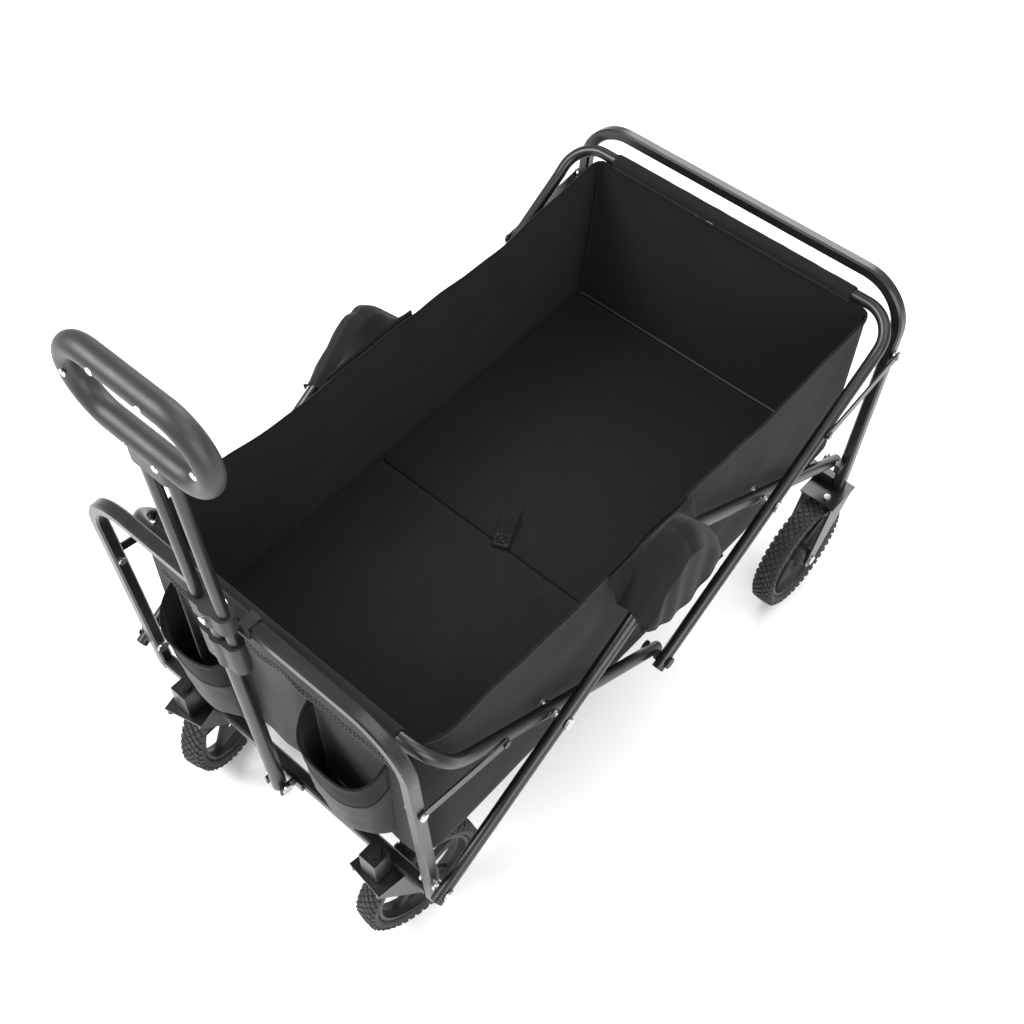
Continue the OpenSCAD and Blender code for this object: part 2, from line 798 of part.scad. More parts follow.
module rear_fork_bolts() {
    color(ZINC) centred() both_sides()
        translate([rear_plate_x + bolt_in, rear_half, fork_z - slack]) {
            translate([0, 0, -washer_h]) cylinder(h = washer_h, r = link_head_r);
            cylinder(h = fork_sheet + bolt_head_h, r = link_pin_r);
            translate([0, 0, fork_sheet + 2 * slack]) cylinder(h = bolt_head_h, r = link_head_r);
        }
}

module rear_axles() {
    color(ZINC) for (side = [-1, 1]) at_rear_wheel(side) wheel_axle();
}

module rear_rim_left() { color(PLASTIC) at_rear_wheel(1) rim(); }
module rear_rim_right() { color(PLASTIC) at_rear_wheel(-1) rim(); }
module rear_tyre_left() { color(RUBBER) at_rear_wheel(1) tyre(); }
module rear_tyre_right() { color(RUBBER) at_rear_wheel(-1) tyre(); }

// ---------------------------------------------------------------- pull handle

module at_handle() {
    centred() translate([handle_x, 0, handle_z]) rotate([0, -handle_lean, 0]) children();
}

module handle_bracket() {
    ear_h = bar_side;
    reach = pivot_reach + bracket_nose;
    color(STEEL) centred() translate([front_bar_x - bar_r, 0, handle_z]) {
        translate([-bracket_t, -bracket_w / 2, -ear_h / 2]) cube([bracket_t, bracket_w, ear_h]);
        both_sides() difference() {
            translate([-reach, bracket_half_gap, -ear_h / 2])
                cube([reach - bracket_t + eps, bracket_t, ear_h]);
            translate([-pivot_reach, 0, 0]) rod(0, 3 * bracket_half_gap, pin_bore_r);
        }
    }
}

module handle_pivot_bolt() {
    color(ZINC) centred() translate([handle_x, 0, handle_z])
        headed_pin(-bracket_half_gap - bracket_t - slack, bracket_half_gap + bracket_t + slack,
            pin_r, spacer_r);
}

module lower_tube() {
    color(STEEL) at_handle() difference() {
        translate([0, 0, -handle_tail])
            pipe(connector_s + connector_h - connector_floor + handle_tail, lower_tube_d);
        rod(-lower_tube_d, lower_tube_d, pin_bore_r);
        translate([0, 0, connector_s + connector_h / 2]) rotate([0, 90, 0])
            cylinder(h = 2 * lower_tube_d, r = link_bore_r, center = true);
    }
}

// Moulded block around the lower tube and the two upper tubes
module tube_block(h) {
    cylinder(h = h, r = block_r);
    both_sides() translate([0, upper_y, 0]) cylinder(h = h, r = side_block_r);
    translate([-side_block_r, -upper_y, 0]) cube([2 * side_block_r, upper_spacing, h]);
}

module tube_connector() {
    color(PLASTIC) at_handle() translate([0, 0, connector_s]) difference() {
        tube_block(connector_h);
        translate([0, 0, -1])
            cylinder(h = connector_h - connector_floor + 1 + slack, r = lower_r + slack);
        both_sides() translate([0, upper_y, -1])
            cylinder(h = connector_h + 2, r = upper_r + pin_play);
        translate([0, 0, connector_h / 2]) rotate([0, 90, 0])
            cylinder(h = 2 * block_depth, r = link_bore_r, center = true);
    }
}

module connector_rivet() {
    color(ZINC) at_handle() translate([0, 0, connector_s + connector_h / 2]) rotate([0, 90, 0]) {
        cylinder(h = block_depth + 2, r = link_pin_r, center = true);
        for (end = [-1, 1]) translate([0, 0, end * (block_r + slack + 1)])
            cylinder(h = 2, r = link_pin_r + 2, center = true);
    }
}

module tube_slider() {
    color(PLASTIC) at_handle() translate([0, 0, slider_s]) difference() {
        tube_block(slider_h);
        translate([0, 0, -1]) cylinder(h = slider_h + 2, r = lower_r + pin_play);
        both_sides() translate([0, upper_y, connector_floor])
            cylinder(h = slider_h, r = upper_r + slack);
    }
}

module upper_tubes() {
    color(STEEL) at_handle() both_sides()
        translate([0, upper_y, slider_s + connector_floor + slack])
            pipe(grip_low_s - grip_r - slider_s - 2 * connector_floor, upper_tube_d);
}

// Closed loop of the grip with its two sockets, before it is split in two shells
module grip_solid() {
    rotate([90, 0, 90]) for (end = [-1, 1]) {
        translate([end * grip_half_bar, 0, 0]) rotate([0, 0, 90 * end - 180])
            rotate_extrude(angle = 180) translate([grip_bend_r, 0]) circle(r = grip_r);
    }
    for (s = [-1, 1]) translate([0, 0, s * grip_bend_r])
        rod(-grip_half_bar, grip_half_bar, grip_r);
    both_sides() translate([0, upper_y, -grip_bend_r - grip_r - socket_l / 2])
        cylinder(h = socket_l / 2 + grip_r, r = side_block_r);
    translate([-side_block_r, -upper_y, -grip_bend_r - grip_r - socket_l / 2])
        cube([2 * side_block_r, upper_spacing, socket_l / 2 + grip_r]);
}

module grip_shell(side) {
    color(PLASTIC) at_handle() difference() {
        translate([0, 0, handle_l]) grip_solid();
        translate([side > 0 ? -4 * grip_r : 0, -grip_w, 0])
            cube([4 * grip_r, 2 * grip_w, 2 * handle_l]);
        both_sides() translate([0, upper_y, 0]) cylinder(h = grip_low_s - 3, r = upper_r + slack);
    }
}

module grip_front() { grip_shell(-1); }
module grip_back() { grip_shell(1); }

// Clip on the front bar: a saddle over the bar and a jaw around the lower tube
module handle_clip() {
    jaw_r = lower_r + slack + clip_t;
    saddle_x = bar_r + slack;
    color(PLASTIC) at_handle() translate([0, 0, bar_s]) {
        difference() {
            translate([0, 0, -clip_h / 2]) cylinder(h = clip_h, r = jaw_r);
            translate([0, 0, -clip_h]) cylinder(h = 2 * clip_h, r = lower_r + slack);
            translate([-2 * jaw_r, -jaw_r, -clip_h]) cube([2 * jaw_r, 2 * jaw_r, 2 * clip_h]);
        }
        translate([lower_r + slack, -upper_y - clip_side - 1, -bar_r])
            cube([clip_t, upper_y + clip_side + 1 + clip_end, bar_side + clip_t]);
    }
    color(PLASTIC) at_front_frame() translate([0, -upper_y - clip_side, front_up]) {
        translate([-saddle_x - clip_t, 0, bar_r + slack])
            cube([2 * (saddle_x + clip_t), clip_w, clip_t]);
        translate([saddle_x, 0, -bar_r]) cube([clip_t, clip_w, bar_side + 2 * slack]);
    }
}

// ---------------------------------------------------------------- basket

// Slab across the basket at its floor or rim, inset on every side, with cut front corners
module basket_slab(front, rear, half, front_z, rear_z, inset, cut) {
    run = rear - front;
    edge = half - inset;
    translate([front, 0, front_z])
        multmatrix([[1, 0, 0, 0], [0, 1, 0, 0], [(rear_z - front_z) / run, 0, 1, 0]])
            linear_extrude(sliver) polygon([
                [inset, -edge + cut], [inset + cut, -edge], [run - inset, -edge],
                [run - inset, edge], [inset + cut, edge], [inset, edge - cut]]);
}

module basket_block(inset, lift, above) {
    hull() {
        basket_slab(front_wall_x, floor_rear_x, cloth_half,
            floor_z + lift, floor_z + lift, inset, foot_cut);
        basket_slab(front_wall_x, rear_wall_x, cloth_half - rim_inset,
            front_rim_z - sliver + above, rear_rim_z - sliver + above, inset, corner_cut);
    }
}

module basket() {
    color(CLOTH) centred() difference() {
        basket_block(0, 0, 0);
        basket_block(cloth_t, cloth_t, 2 * sliver);
    }
}

module hem_sleeve(x, z) {
    centred() translate([x, 0, z]) difference() {
        rod(-hem_half, hem_half, hem_out_r);
        rod(-hem_half - 1, hem_half + 1, hem_r);
    }
}

module front_hem() { color(CLOTH) hem_sleeve(front_hem_x, front_hem_z); }
module rear_hem() { color(CLOTH) hem_sleeve(rear_hem_x, rear_hem_z); }

module floor_board(x0, x1) {
    half = cloth_half - cloth_t - board_play;
    color(CLOTH) centred() translate([x0, -half, board_z]) cube([x1 - x0, 2 * half, board_t]);
}

module floor_board_front() {
    floor_board(front_wall_x + cloth_t + board_play, fold_offset - fold_gap / 2);
}

module floor_board_rear() {
    floor_board(fold_offset + fold_gap / 2, floor_rear_x - cloth_t - board_play);
}

module pull_tab() {
    color(CLOTH) centred() translate([fold_offset, -tab_w / 2, board_top_z + seat_gap])
        rotate([0, 0, tab_turn]) cube([tab_l, tab_w, panel_t]);
}

// Cup: outer block less its inside, open at the top
module cup_pocket() {
    difference() {
        translate([-pocket_depth, 0, 0]) cube([pocket_depth, pocket_w, pocket_h]);
        translate([panel_t - pocket_depth, panel_t, panel_t])
            cube([pocket_depth - 2 * panel_t, pocket_w - 2 * panel_t, pocket_h]);
    }
}

module cup_pockets() {
    color(GREY_CLOTH) centred() both_sides() translate([panel_x, pocket_y, pocket_z]) cup_pocket();
}

module front_flap() {
    color(GREY_CLOTH) centred()
        translate([panel_x - panel_t, -hem_half, front_hem_z - hem_out_r - flap_h])
            cube([panel_t, 2 * hem_half, flap_h]);
}

// Flap that lies over the top joint and hangs outside the side tubes
module handholds() {
    inner = cloth_half - rim_inset;
    color(CLOTH) centred() both_sides() translate([handhold_offset - handhold_l / 2, 0, 0]) {
        translate([0, inner, handhold_z]) cube([handhold_l, skirt_y + panel_t - inner, panel_t]);
        translate([0, skirt_y, handhold_z - handhold_drop])
            cube([handhold_l, panel_t, handhold_drop]);
    }
}

front_frame();
front_crossbar();
front_feet();
caster_housings();
handle_bracket();
handle_pivot_bolt();
handle_clip();
front_arm_pins();
front_link_pins();
caster_fork_left();
caster_fork_right();
kingpin_left();
kingpin_right();
front_axle_left();
front_axle_right();
front_rim_left();
front_rim_right();
front_tyre_left();
front_tyre_right();
front_arms();
front_arm_caps();
front_cross_pins();
top_joint_pins();
front_hoop();
front_hoop_caps();
rear_arms();
rear_arm_caps();
rear_cross_pins();
rear_hoop();
rear_hoop_caps();
lower_joint_pins();
rear_frame();
rear_crossbar();
rear_arm_pins();
rear_link_pins();
rear_forks();
rear_fork_bolts();
rear_axles();
rear_rim_left();
rear_rim_right();
rear_tyre_left();
rear_tyre_right();
front_links();
rear_links();
lower_tube();
tube_connector();
connector_rivet();
upper_tubes();
tube_slider();
grip_front();
grip_back();
basket();
front_hem();
rear_hem();
floor_board_front();
floor_board_rear();
pull_tab();
cup_pockets();
front_flap();
handholds();
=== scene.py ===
"""Folding camp wagon: the visible pieces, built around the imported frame.

Lengths are metres. X points to the rear, Y to the wagon's left side and Z up.
"""

from __future__ import annotations

import logging
import math
import sys
from collections.abc import Callable, Iterator
from contextlib import contextmanager
from dataclasses import dataclass
from enum import Enum

import bmesh
import bpy
from mathutils import Matrix, Vector, noise

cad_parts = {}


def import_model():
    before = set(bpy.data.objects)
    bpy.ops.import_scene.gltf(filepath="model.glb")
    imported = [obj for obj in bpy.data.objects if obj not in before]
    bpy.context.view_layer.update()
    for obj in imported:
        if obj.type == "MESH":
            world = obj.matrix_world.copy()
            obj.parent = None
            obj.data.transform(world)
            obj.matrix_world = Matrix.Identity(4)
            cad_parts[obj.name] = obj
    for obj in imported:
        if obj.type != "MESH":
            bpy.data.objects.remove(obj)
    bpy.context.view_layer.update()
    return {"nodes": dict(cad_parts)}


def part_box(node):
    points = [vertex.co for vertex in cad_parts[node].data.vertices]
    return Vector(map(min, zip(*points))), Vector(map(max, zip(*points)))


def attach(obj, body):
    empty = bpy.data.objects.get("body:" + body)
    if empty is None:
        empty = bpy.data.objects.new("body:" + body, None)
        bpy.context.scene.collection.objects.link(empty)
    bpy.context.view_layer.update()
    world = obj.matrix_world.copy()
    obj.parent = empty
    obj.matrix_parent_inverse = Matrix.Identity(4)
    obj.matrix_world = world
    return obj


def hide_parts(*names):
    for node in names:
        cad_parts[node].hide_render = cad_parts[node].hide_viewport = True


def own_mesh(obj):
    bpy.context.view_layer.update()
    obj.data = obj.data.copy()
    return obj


LOG = logging.getLogger("wagon")
Shape = Callable[[Vector], Vector]


class Side(Enum):
    """A side of the wagon, as the sign of its Y."""

    LEFT = 1
    RIGHT = -1

    @property
    def word(self) -> str:
        """The side's name inside piece names."""
        return self.name.lower()


class Kind(Enum):
    """What a frame node is made of."""

    STEEL = "frame_steel"
    ZINC = "zinc"
    PLASTIC = "black_plastic"
    GRIP = "grip_foam"


# ------------------------------------------------------------------ bench tools


def clear_selection() -> None:
    """Leaves edit mode and deselects everything."""
    if bpy.context.object and bpy.context.object.mode != "OBJECT":
        bpy.ops.object.mode_set(mode="OBJECT")
    bpy.ops.object.select_all(action="DESELECT")


def pick(obj: bpy.types.Object) -> None:
    """Makes obj the only selected object, and the active one.

    Args:
        obj: The object to work on.
    """
    clear_selection()
    obj.select_set(True)
    bpy.context.view_layer.objects.active = obj


@contextmanager
def editing(obj: bpy.types.Object, mode: str = "FACE") -> Iterator[None]:
    """Edit mode on one object, for the length of a with block.

    Args:
        obj: The object to edit.
        mode: VERT, EDGE or FACE.
    """
    pick(obj)
    bpy.ops.object.mode_set(mode="EDIT")
    bpy.ops.mesh.select_mode(type=mode)
    try:
        yield
    finally:
        bpy.ops.object.mode_set(mode="OBJECT")


def choose(obj: bpy.types.Object, kind: str, test: Callable[[object], bool]) -> None:
    """Selects the faces, edges or vertices of the mesh in edit mode that pass a test.

    Args:
        obj: The object in edit mode.
        kind: faces, edges or verts.
        test: Says whether an element is selected.
    """
    mesh = bmesh.from_edit_mesh(obj.data)
    for group in (mesh.faces, mesh.edges, mesh.verts):
        for element in group:
            element.select = False
    for element in getattr(mesh, kind):
        if test(element):
            element.select_set(True)
    bmesh.update_edit_mesh(obj.data)


def named(name: str) -> bpy.types.Object:
    """The object just added, under its own name and with its place in its mesh.

    Args:
        name: The piece's name.

    Returns:
        The object.
    """
    obj = bpy.context.object
    obj.name = obj.data.name = name
    bpy.ops.object.transform_apply(location=True, rotation=True, scale=True)
    return obj


def box(name: str, low: tuple, high: tuple) -> bpy.types.Object:
    """A cube primitive between two corners.

    Args:
        name: The piece's name.
        low: Lowest corner.
        high: Highest corner.

    Returns:
        The object.
    """
    clear_selection()
    a, b = Vector(low), Vector(high)
    bpy.ops.mesh.primitive_cube_add(size=1, location=(a + b) / 2)
    bpy.context.object.scale = b - a
    return named(name)


def drum(name: str, centre: tuple, radius: float, length: float, sides: int = 32) -> bpy.types.Object:
    """A cylinder primitive along Y.

    Args:
        name: The piece's name.
        centre: Its middle.
        radius: Its radius.
        length: Its length along Y.
        sides: How many sides it has.

    Returns:
        The object.
    """
    clear_selection()
    bpy.ops.mesh.primitive_cylinder_add(
        vertices=sides, radius=radius, depth=length, location=centre, rotation=(math.pi / 2, 0, 0)
    )
    return named(name)


def lattice(name: str, across: int, along: int) -> bpy.types.Object:
    """A flat grid from -1 to 1 both ways, to be shaped into cloth.

    Args:
        name: The piece's name.
        across: Cells along X.
        along: Cells along Y.

    Returns:
        The object.
    """
    clear_selection()
    bpy.ops.mesh.primitive_grid_add(x_subdivisions=across, y_subdivisions=along, size=2)
    return named(name)


def shape(obj: bpy.types.Object, move: Shape) -> bpy.types.Object:
    """Moves every vertex to where a function puts it.

    Args:
        obj: The object.
        move: Takes a point and returns the new one.

    Returns:
        The object.
    """
    for vertex in obj.data.vertices:
        vertex.co = move(vertex.co.copy())
    obj.data.update()
    return obj


def modify(obj: bpy.types.Object, kind: str, **settings: object) -> bpy.types.Object:
    """Adds a modifier and applies it.

    Args:
        obj: The object.
        kind: The modifier's type.
        settings: The modifier's properties.

    Returns:
        The object.
    """
    pick(obj)
    modifier = obj.modifiers.new(kind.lower(), kind)
    for key, value in settings.items():
        setattr(modifier, key, value)
    bpy.ops.object.modifier_apply(modifier=modifier.name)
    return obj


def face_outwards(obj: bpy.types.Object) -> None:
    """Turns the faces of a closed mesh outwards.

    Args:
        obj: The object.
    """
    with editing(obj):
        bpy.ops.mesh.select_all(action="SELECT")
        bpy.ops.mesh.normals_make_consistent(inside=False)


def smooth(obj: bpy.types.Object, angle: float = 40.0) -> bpy.types.Object:
    """Shades the piece smooth below an angle.

    Args:
        obj: The object.
        angle: Edges sharper than this, in degrees, stay sharp.

    Returns:
        The object.
    """
    pick(obj)
    bpy.ops.object.shade_smooth_by_angle(angle=math.radians(angle))
    return obj


def merge(pieces: list[bpy.types.Object], name: str) -> bpy.types.Object:
    """Joins several objects into one.

    Args:
        pieces: The objects.
        name: The name of the result.

    Returns:
        The joined object.
    """
    clear_selection()
    for piece in pieces:
        piece.select_set(True)
    bpy.context.view_layer.objects.active = pieces[0]
    bpy.ops.object.join()
    pieces[0].name = pieces[0].data.name = name
    return pieces[0]


def copy_to(obj: bpy.types.Object, name: str, place: Matrix) -> bpy.types.Object:
    """A copy with its own mesh, put in place.

    Args:
        obj: The object to copy.
        name: The copy's name.
        place: Where the copy goes.

    Returns:
        The copy.
    """
    pick(obj)
    bpy.ops.object.duplicate()
    copy = bpy.context.object
    copy.name = copy.data.name = name
    copy.data.transform(place)
    return copy


def copies(obj: bpy.types.Object, places: list[Matrix], name: str) -> bpy.types.Object:
    """Copies of a piece at several places, joined; the first one is used up.

    Args:
        obj: The piece, at the origin.
        places: Where each copy goes.
        name: The name of the result.

    Returns:
        The joined object.
    """
    mesh = bmesh.new()
    for place in places:
        part = obj.data.copy()
        part.transform(place)
        mesh.from_mesh(part)
        bpy.data.meshes.remove(part)
    mesh.to_mesh(obj.data)
    mesh.free()
    obj.name = obj.data.name = name
    return obj


def area_of(obj: bpy.types.Object) -> float:
    """The area of all faces, in square metres."""
    return sum(face.area for face in obj.data.polygons)


def ripple(point: Vector, scale: float, seed: float = 0.0) -> float:
    """Soft noise from -1 to 1.

    Args:
        point: Where.
        scale: Waves per metre.
        seed: Shifts the pattern.

    Returns:
        The value there.
    """
    return noise.noise(point * scale + Vector((seed, 2.3 * seed, 5.1 * seed)))


def blend_table(table: list[tuple[float, float]], at: float) -> float:
    """A smooth curve through a table of points.

    Args:
        table: Pairs of place and value, in order.
        at: The place asked for.

    Returns:
        The value there.
    """
    if at <= table[0][0]:
        return table[0][1]
    for (x0, y0), (x1, y1) in zip(table, table[1:]):
        if at <= x1:
            t = (at - x0) / (x1 - x0)
            return y0 + (y1 - y0) * t * t * (3 - 2 * t)
    return table[-1][1]


# ------------------------------------------------------------------ finishes


class Graph:
    """A material's nodes, with short calls for what the finishes need."""

    def __init__(self, name: str) -> None:
        """Starts a material with its Principled shader.

        Args:
            name: The material's name.
        """
        self.material = bpy.data.materials.new(name)
        self.material.use_nodes = True
        self.tree = self.material.node_tree
        self.shader = next(n for n in self.tree.nodes if n.type == "BSDF_PRINCIPLED")
        self.place = self.node("ShaderNodeTexCoord").outputs["Object"]

    def node(self, kind: str, **settings: object) -> bpy.types.Node:
        """A new node with its properties set."""
        node = self.tree.nodes.new(kind)
        for key, value in settings.items():
            setattr(node, key, value)
        return node

    def link(self, source: bpy.types.NodeSocket, target: bpy.types.NodeSocket) -> None:
        """Joins two sockets."""
        self.tree.links.new(source, target)

    def fix(self, **values: object) -> None:
        """Sets constants on the shader's own sockets; underscores stand for spaces."""
        for key, value in values.items():
            self.shader.inputs[key.replace("_", " ")].default_value = value

    def noise(
        self, scale: float, detail: float = 3.0, rough: float = 0.55, stretch: tuple | None = None
    ) -> bpy.types.NodeSocket:
        """A noise pattern's value, drawn out along an axis where stretch has a small number."""
        node = self.node("ShaderNodeTexNoise")
        node.inputs["Scale"].default_value = scale
        node.inputs["Detail"].default_value = detail
        node.inputs["Roughness"].default_value = rough
        vector = self.place
        if stretch:
            mapping = self.node("ShaderNodeMapping")
            mapping.inputs["Scale"].default_value = stretch
            self.link(vector, mapping.inputs["Vector"])
            vector = mapping.outputs["Vector"]
        self.link(vector, node.inputs["Vector"])
        return node.outputs["Fac"]

    def waves(self, direction: str, period: float) -> bpy.types.NodeSocket:
        """Even bands across one axis, period metres apart."""
        node = self.node("ShaderNodeTexWave", wave_type="BANDS", bands_direction=direction)
        node.inputs["Scale"].default_value = 2 * math.pi / (20 * period)
        node.inputs["Distortion"].default_value = 0.0
        node.inputs["Detail"].default_value = 0.0
        self.link(self.place, node.inputs["Vector"])
        return node.outputs["Fac"]

    def maths(self, operation: str, a: object, b: object) -> bpy.types.NodeSocket:
        """A maths node on two sockets or numbers."""
        node = self.node("ShaderNodeMath", operation=operation)
        for socket, value in zip(node.inputs, (a, b)):
            if isinstance(value, (int, float)):
                socket.default_value = value
            else:
                self.link(value, socket)
        return node.outputs[0]

    def ramp(self, factor: bpy.types.NodeSocket, stops: list[tuple[float, tuple]]) -> bpy.types.NodeSocket:
        """A colour ramp's colour."""
        node = self.node("ShaderNodeValToRGB")
        node.color_ramp.elements[0].position = stops[0][0]
        node.color_ramp.elements[0].color = (*stops[0][1], 1)
        node.color_ramp.elements[1].position = stops[-1][0]
        node.color_ramp.elements[1].color = (*stops[-1][1], 1)
        for position, colour in stops[1:-1]:
            node.color_ramp.elements.new(position).color = (*colour, 1)
        self.link(factor, node.inputs["Fac"])
        return node.outputs["Color"]

    def span(self, factor: bpy.types.NodeSocket, low: float, high: float) -> bpy.types.NodeSocket:
        """Maps a value from 0..1 to low..high."""
        node = self.node("ShaderNodeMapRange")
        node.inputs["To Min"].default_value = low
        node.inputs["To Max"].default_value = high
        self.link(factor, node.inputs["Value"])
        return node.outputs["Result"]

    def bump(self, height: bpy.types.NodeSocket, strength: float, distance: float) -> None:
        """Raises the surface by a height pattern, on top of any bump set before."""
        node = self.node("ShaderNodeBump")
        node.inputs["Strength"].default_value = strength
        node.inputs["Distance"].default_value = distance
        self.link(height, node.inputs["Height"])
        normal = self.shader.inputs["Normal"]
        if normal.is_linked:
            self.link(normal.links[0].from_socket, node.inputs["Normal"])
        self.link(node.outputs["Normal"], normal)

    def colour(self, source: bpy.types.NodeSocket) -> None:
        """Feeds the base colour."""
        self.link(source, self.shader.inputs["Base Color"])

    def roughness(self, source: bpy.types.NodeSocket) -> None:
        """Feeds the roughness."""
        self.link(source, self.shader.inputs["Roughness"])


def grey(value: float, warm: float = 0.0) -> tuple[float, float, float]:
    """A grey, a little warm or cool."""
    return (value * (1 + warm), value, value * (1 - warm))


@dataclass(frozen=True)
class PowderCoat:
    """Black powder coat on steel: a fine orange peel with a satin gloss."""

    name: str = "powder_coat"
    dark: float = 0.0045
    light: float = 0.0085
    grain: float = 1400.0
    peel: float = 420.0

    def make(self) -> bpy.types.Material:
        """The material."""
        g = Graph(self.name)
        g.colour(g.ramp(g.noise(60), [(0.3, grey(self.dark)), (0.7, grey(self.light, -0.03))]))
        g.roughness(g.span(g.noise(35), 0.26, 0.40))
        g.bump(g.noise(self.peel, 2.0), 0.10, 0.0004)
        g.bump(g.noise(self.grain, 2.0), 0.12, 0.0001)
        g.fix(Specular_IOR_Level=0.42, Coat_Weight=0.08, Coat_Roughness=0.22)
        return g.material


@dataclass(frozen=True)
class Moulding:
    """Black moulded plastic with a fine spark-eroded grain."""

    name: str = "moulding"
    shade: float = 0.0065
    low: float = 0.42
    high: float = 0.58
    grain: float = 1100.0

    def make(self) -> bpy.types.Material:
        """The material."""
        g = Graph(self.name)
        g.colour(g.ramp(g.noise(25), [(0.35, grey(self.shade)), (0.7, grey(self.shade * 1.5))]))
        g.roughness(g.span(g.noise(90), self.low, self.high))
        g.bump(g.noise(self.grain, 2.0), 0.25, 0.0002)
        return g.material


@dataclass(frozen=True)
class Rubber:
    """Dark rubber with dusty wear and mould grain."""

    name: str = "rubber"

    def make(self) -> bpy.types.Material:
        """The material."""
        g = Graph(self.name)
        tone = g.maths("MULTIPLY", g.noise(140, 4.0), g.noise(22, 3.0))
        g.colour(g.ramp(tone, [(0.15, grey(0.010)), (0.42, grey(0.030, 0.03))]))
        g.roughness(g.span(g.noise(180), 0.6, 0.85))
        g.bump(g.noise(700, 3.0), 0.35, 0.0003)
        return g.material


@dataclass(frozen=True)
class Zinc:
    """Bright zinc plating with faint turning marks."""

    name: str = "zinc_plate"

    def make(self) -> bpy.types.Material:
        """The material."""
        g = Graph(self.name)
        g.colour(g.ramp(g.noise(90), [(0.3, (0.52, 0.53, 0.55)), (0.7, (0.70, 0.71, 0.73))]))
        g.roughness(g.span(g.noise(420), 0.22, 0.40))
        g.bump(g.noise(900, 2.0), 0.12, 0.0001)
        g.fix(Metallic=1.0)
        return g.material


@dataclass(frozen=True)
class Cloth:
    """Coated polyester: a plain weave of coarse threads with creases and a soft sheen."""

    name: str
    dark: float
    light: float
    thread: float = 0.0011
    weave_depth: float = 0.0004
    sheen: float = 0.06
    rough: float = 0.80

    def make(self) -> bpy.types.Material:
        """The material."""
        g = Graph(self.name)
        fine, along = 1 / self.thread, 0.12
        threads = [
            g.noise(fine, 2.0, 0.5, stretch)
            for stretch in ((along, 1, 1), (1, along, 1), (1, 1, along))
        ]
        weave = g.maths("MAXIMUM", g.maths("MAXIMUM", threads[0], threads[1]), threads[2])
        tone = g.maths("ADD", g.maths("MULTIPLY", weave, 0.75), g.maths("MULTIPLY", g.noise(6, 3.0), 0.25))
        g.colour(g.ramp(tone, [(0.40, grey(self.dark)), (0.72, grey(self.light, -0.02))]))
        g.roughness(g.span(g.noise(40), self.rough - 0.08, self.rough + 0.08))
        g.bump(g.noise(22, 3.0), 0.22, 0.0022)
        g.bump(weave, 0.45, self.weave_depth)
        g.fix(Sheen_Weight=self.sheen, Sheen_Roughness=0.5, Specular_IOR_Level=0.12)
        return g.material


@dataclass(frozen=True)
class Thread:
    """Waxed sewing thread, twisted."""

    name: str
    shade: float

    def make(self) -> bpy.types.Material:
        """The material."""
        g = Graph(self.name)
        g.colour(g.ramp(g.noise(1500, 2.0), [(0.3, grey(self.shade)), (0.7, grey(self.shade * 1.6))]))
        g.bump(g.waves("DIAGONAL", 0.0008), 0.4, 0.0002)
        g.fix(Roughness=0.6)
        return g.material


@dataclass(frozen=True)
class Studio:
    """Pale floor paint, almost white, with a faint mottle."""

    name: str = "studio_floor"

    def make(self) -> bpy.types.Material:
        """The material."""
        g = Graph(self.name)
        g.colour(g.ramp(g.noise(0.7, 2.0), [(0.2, (0.93, 0.93, 0.93)), (0.8, (0.95, 0.95, 0.95))]))
        g.fix(Roughness=0.9, Specular_IOR_Level=0.1)
        return g.material


class Finishes:
    """Every finish of the wagon, made once."""

    def __init__(self) -> None:
        """Makes the materials."""
        self.steel = PowderCoat().make()
        self.plastic = Moulding().make()
        self.grip = Moulding("soft_grip", 0.0100, 0.40, 0.54, 800.0).make()
        self.rubber = Rubber().make()
        self.zinc = Zinc().make()
        self.lining = Cloth("basket_weave", 0.0048, 0.0100).make()
        self.panel = Cloth("panel_weave", 0.016, 0.042, thread=0.0014, sheen=0.12).make()
        self.mat = Cloth("mat_weave", 0.0046, 0.0090, thread=0.0012).make()
        self.webbing = Cloth("webbing", 0.0035, 0.0080, thread=0.0022, weave_depth=0.0007).make()
        self.net = Thread("net_thread", 0.018).make()
        self.stitch = Thread("stitch_thread", 0.020).make()
        self.floor = Studio().make()


def wear(obj: bpy.types.Object, material: bpy.types.Material) -> None:
    """Gives a piece one material.

    Args:
        obj: The piece.
        material: Its finish.
    """
    obj.data.materials.clear()
    obj.data.materials.append(material)


def fit(obj: bpy.types.Object, body: str, slot: str, material: bpy.types.Material, *nodes: str) -> None:
    """Finishes a piece: its material, the nodes it stands for and its body.

    Args:
        obj: The piece.
        body: The body it rides on.
        slot: Its material slot; not used.
        material: Its finish.
        nodes: The frame nodes that it replaces.
    """
    wear(obj, material)
    if nodes:
        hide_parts(*nodes)
    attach(obj, body)
    LOG.info("%s: %d faces on %s", obj.name, len(obj.data.polygons), body)


# ------------------------------------------------------------------ the steel frame


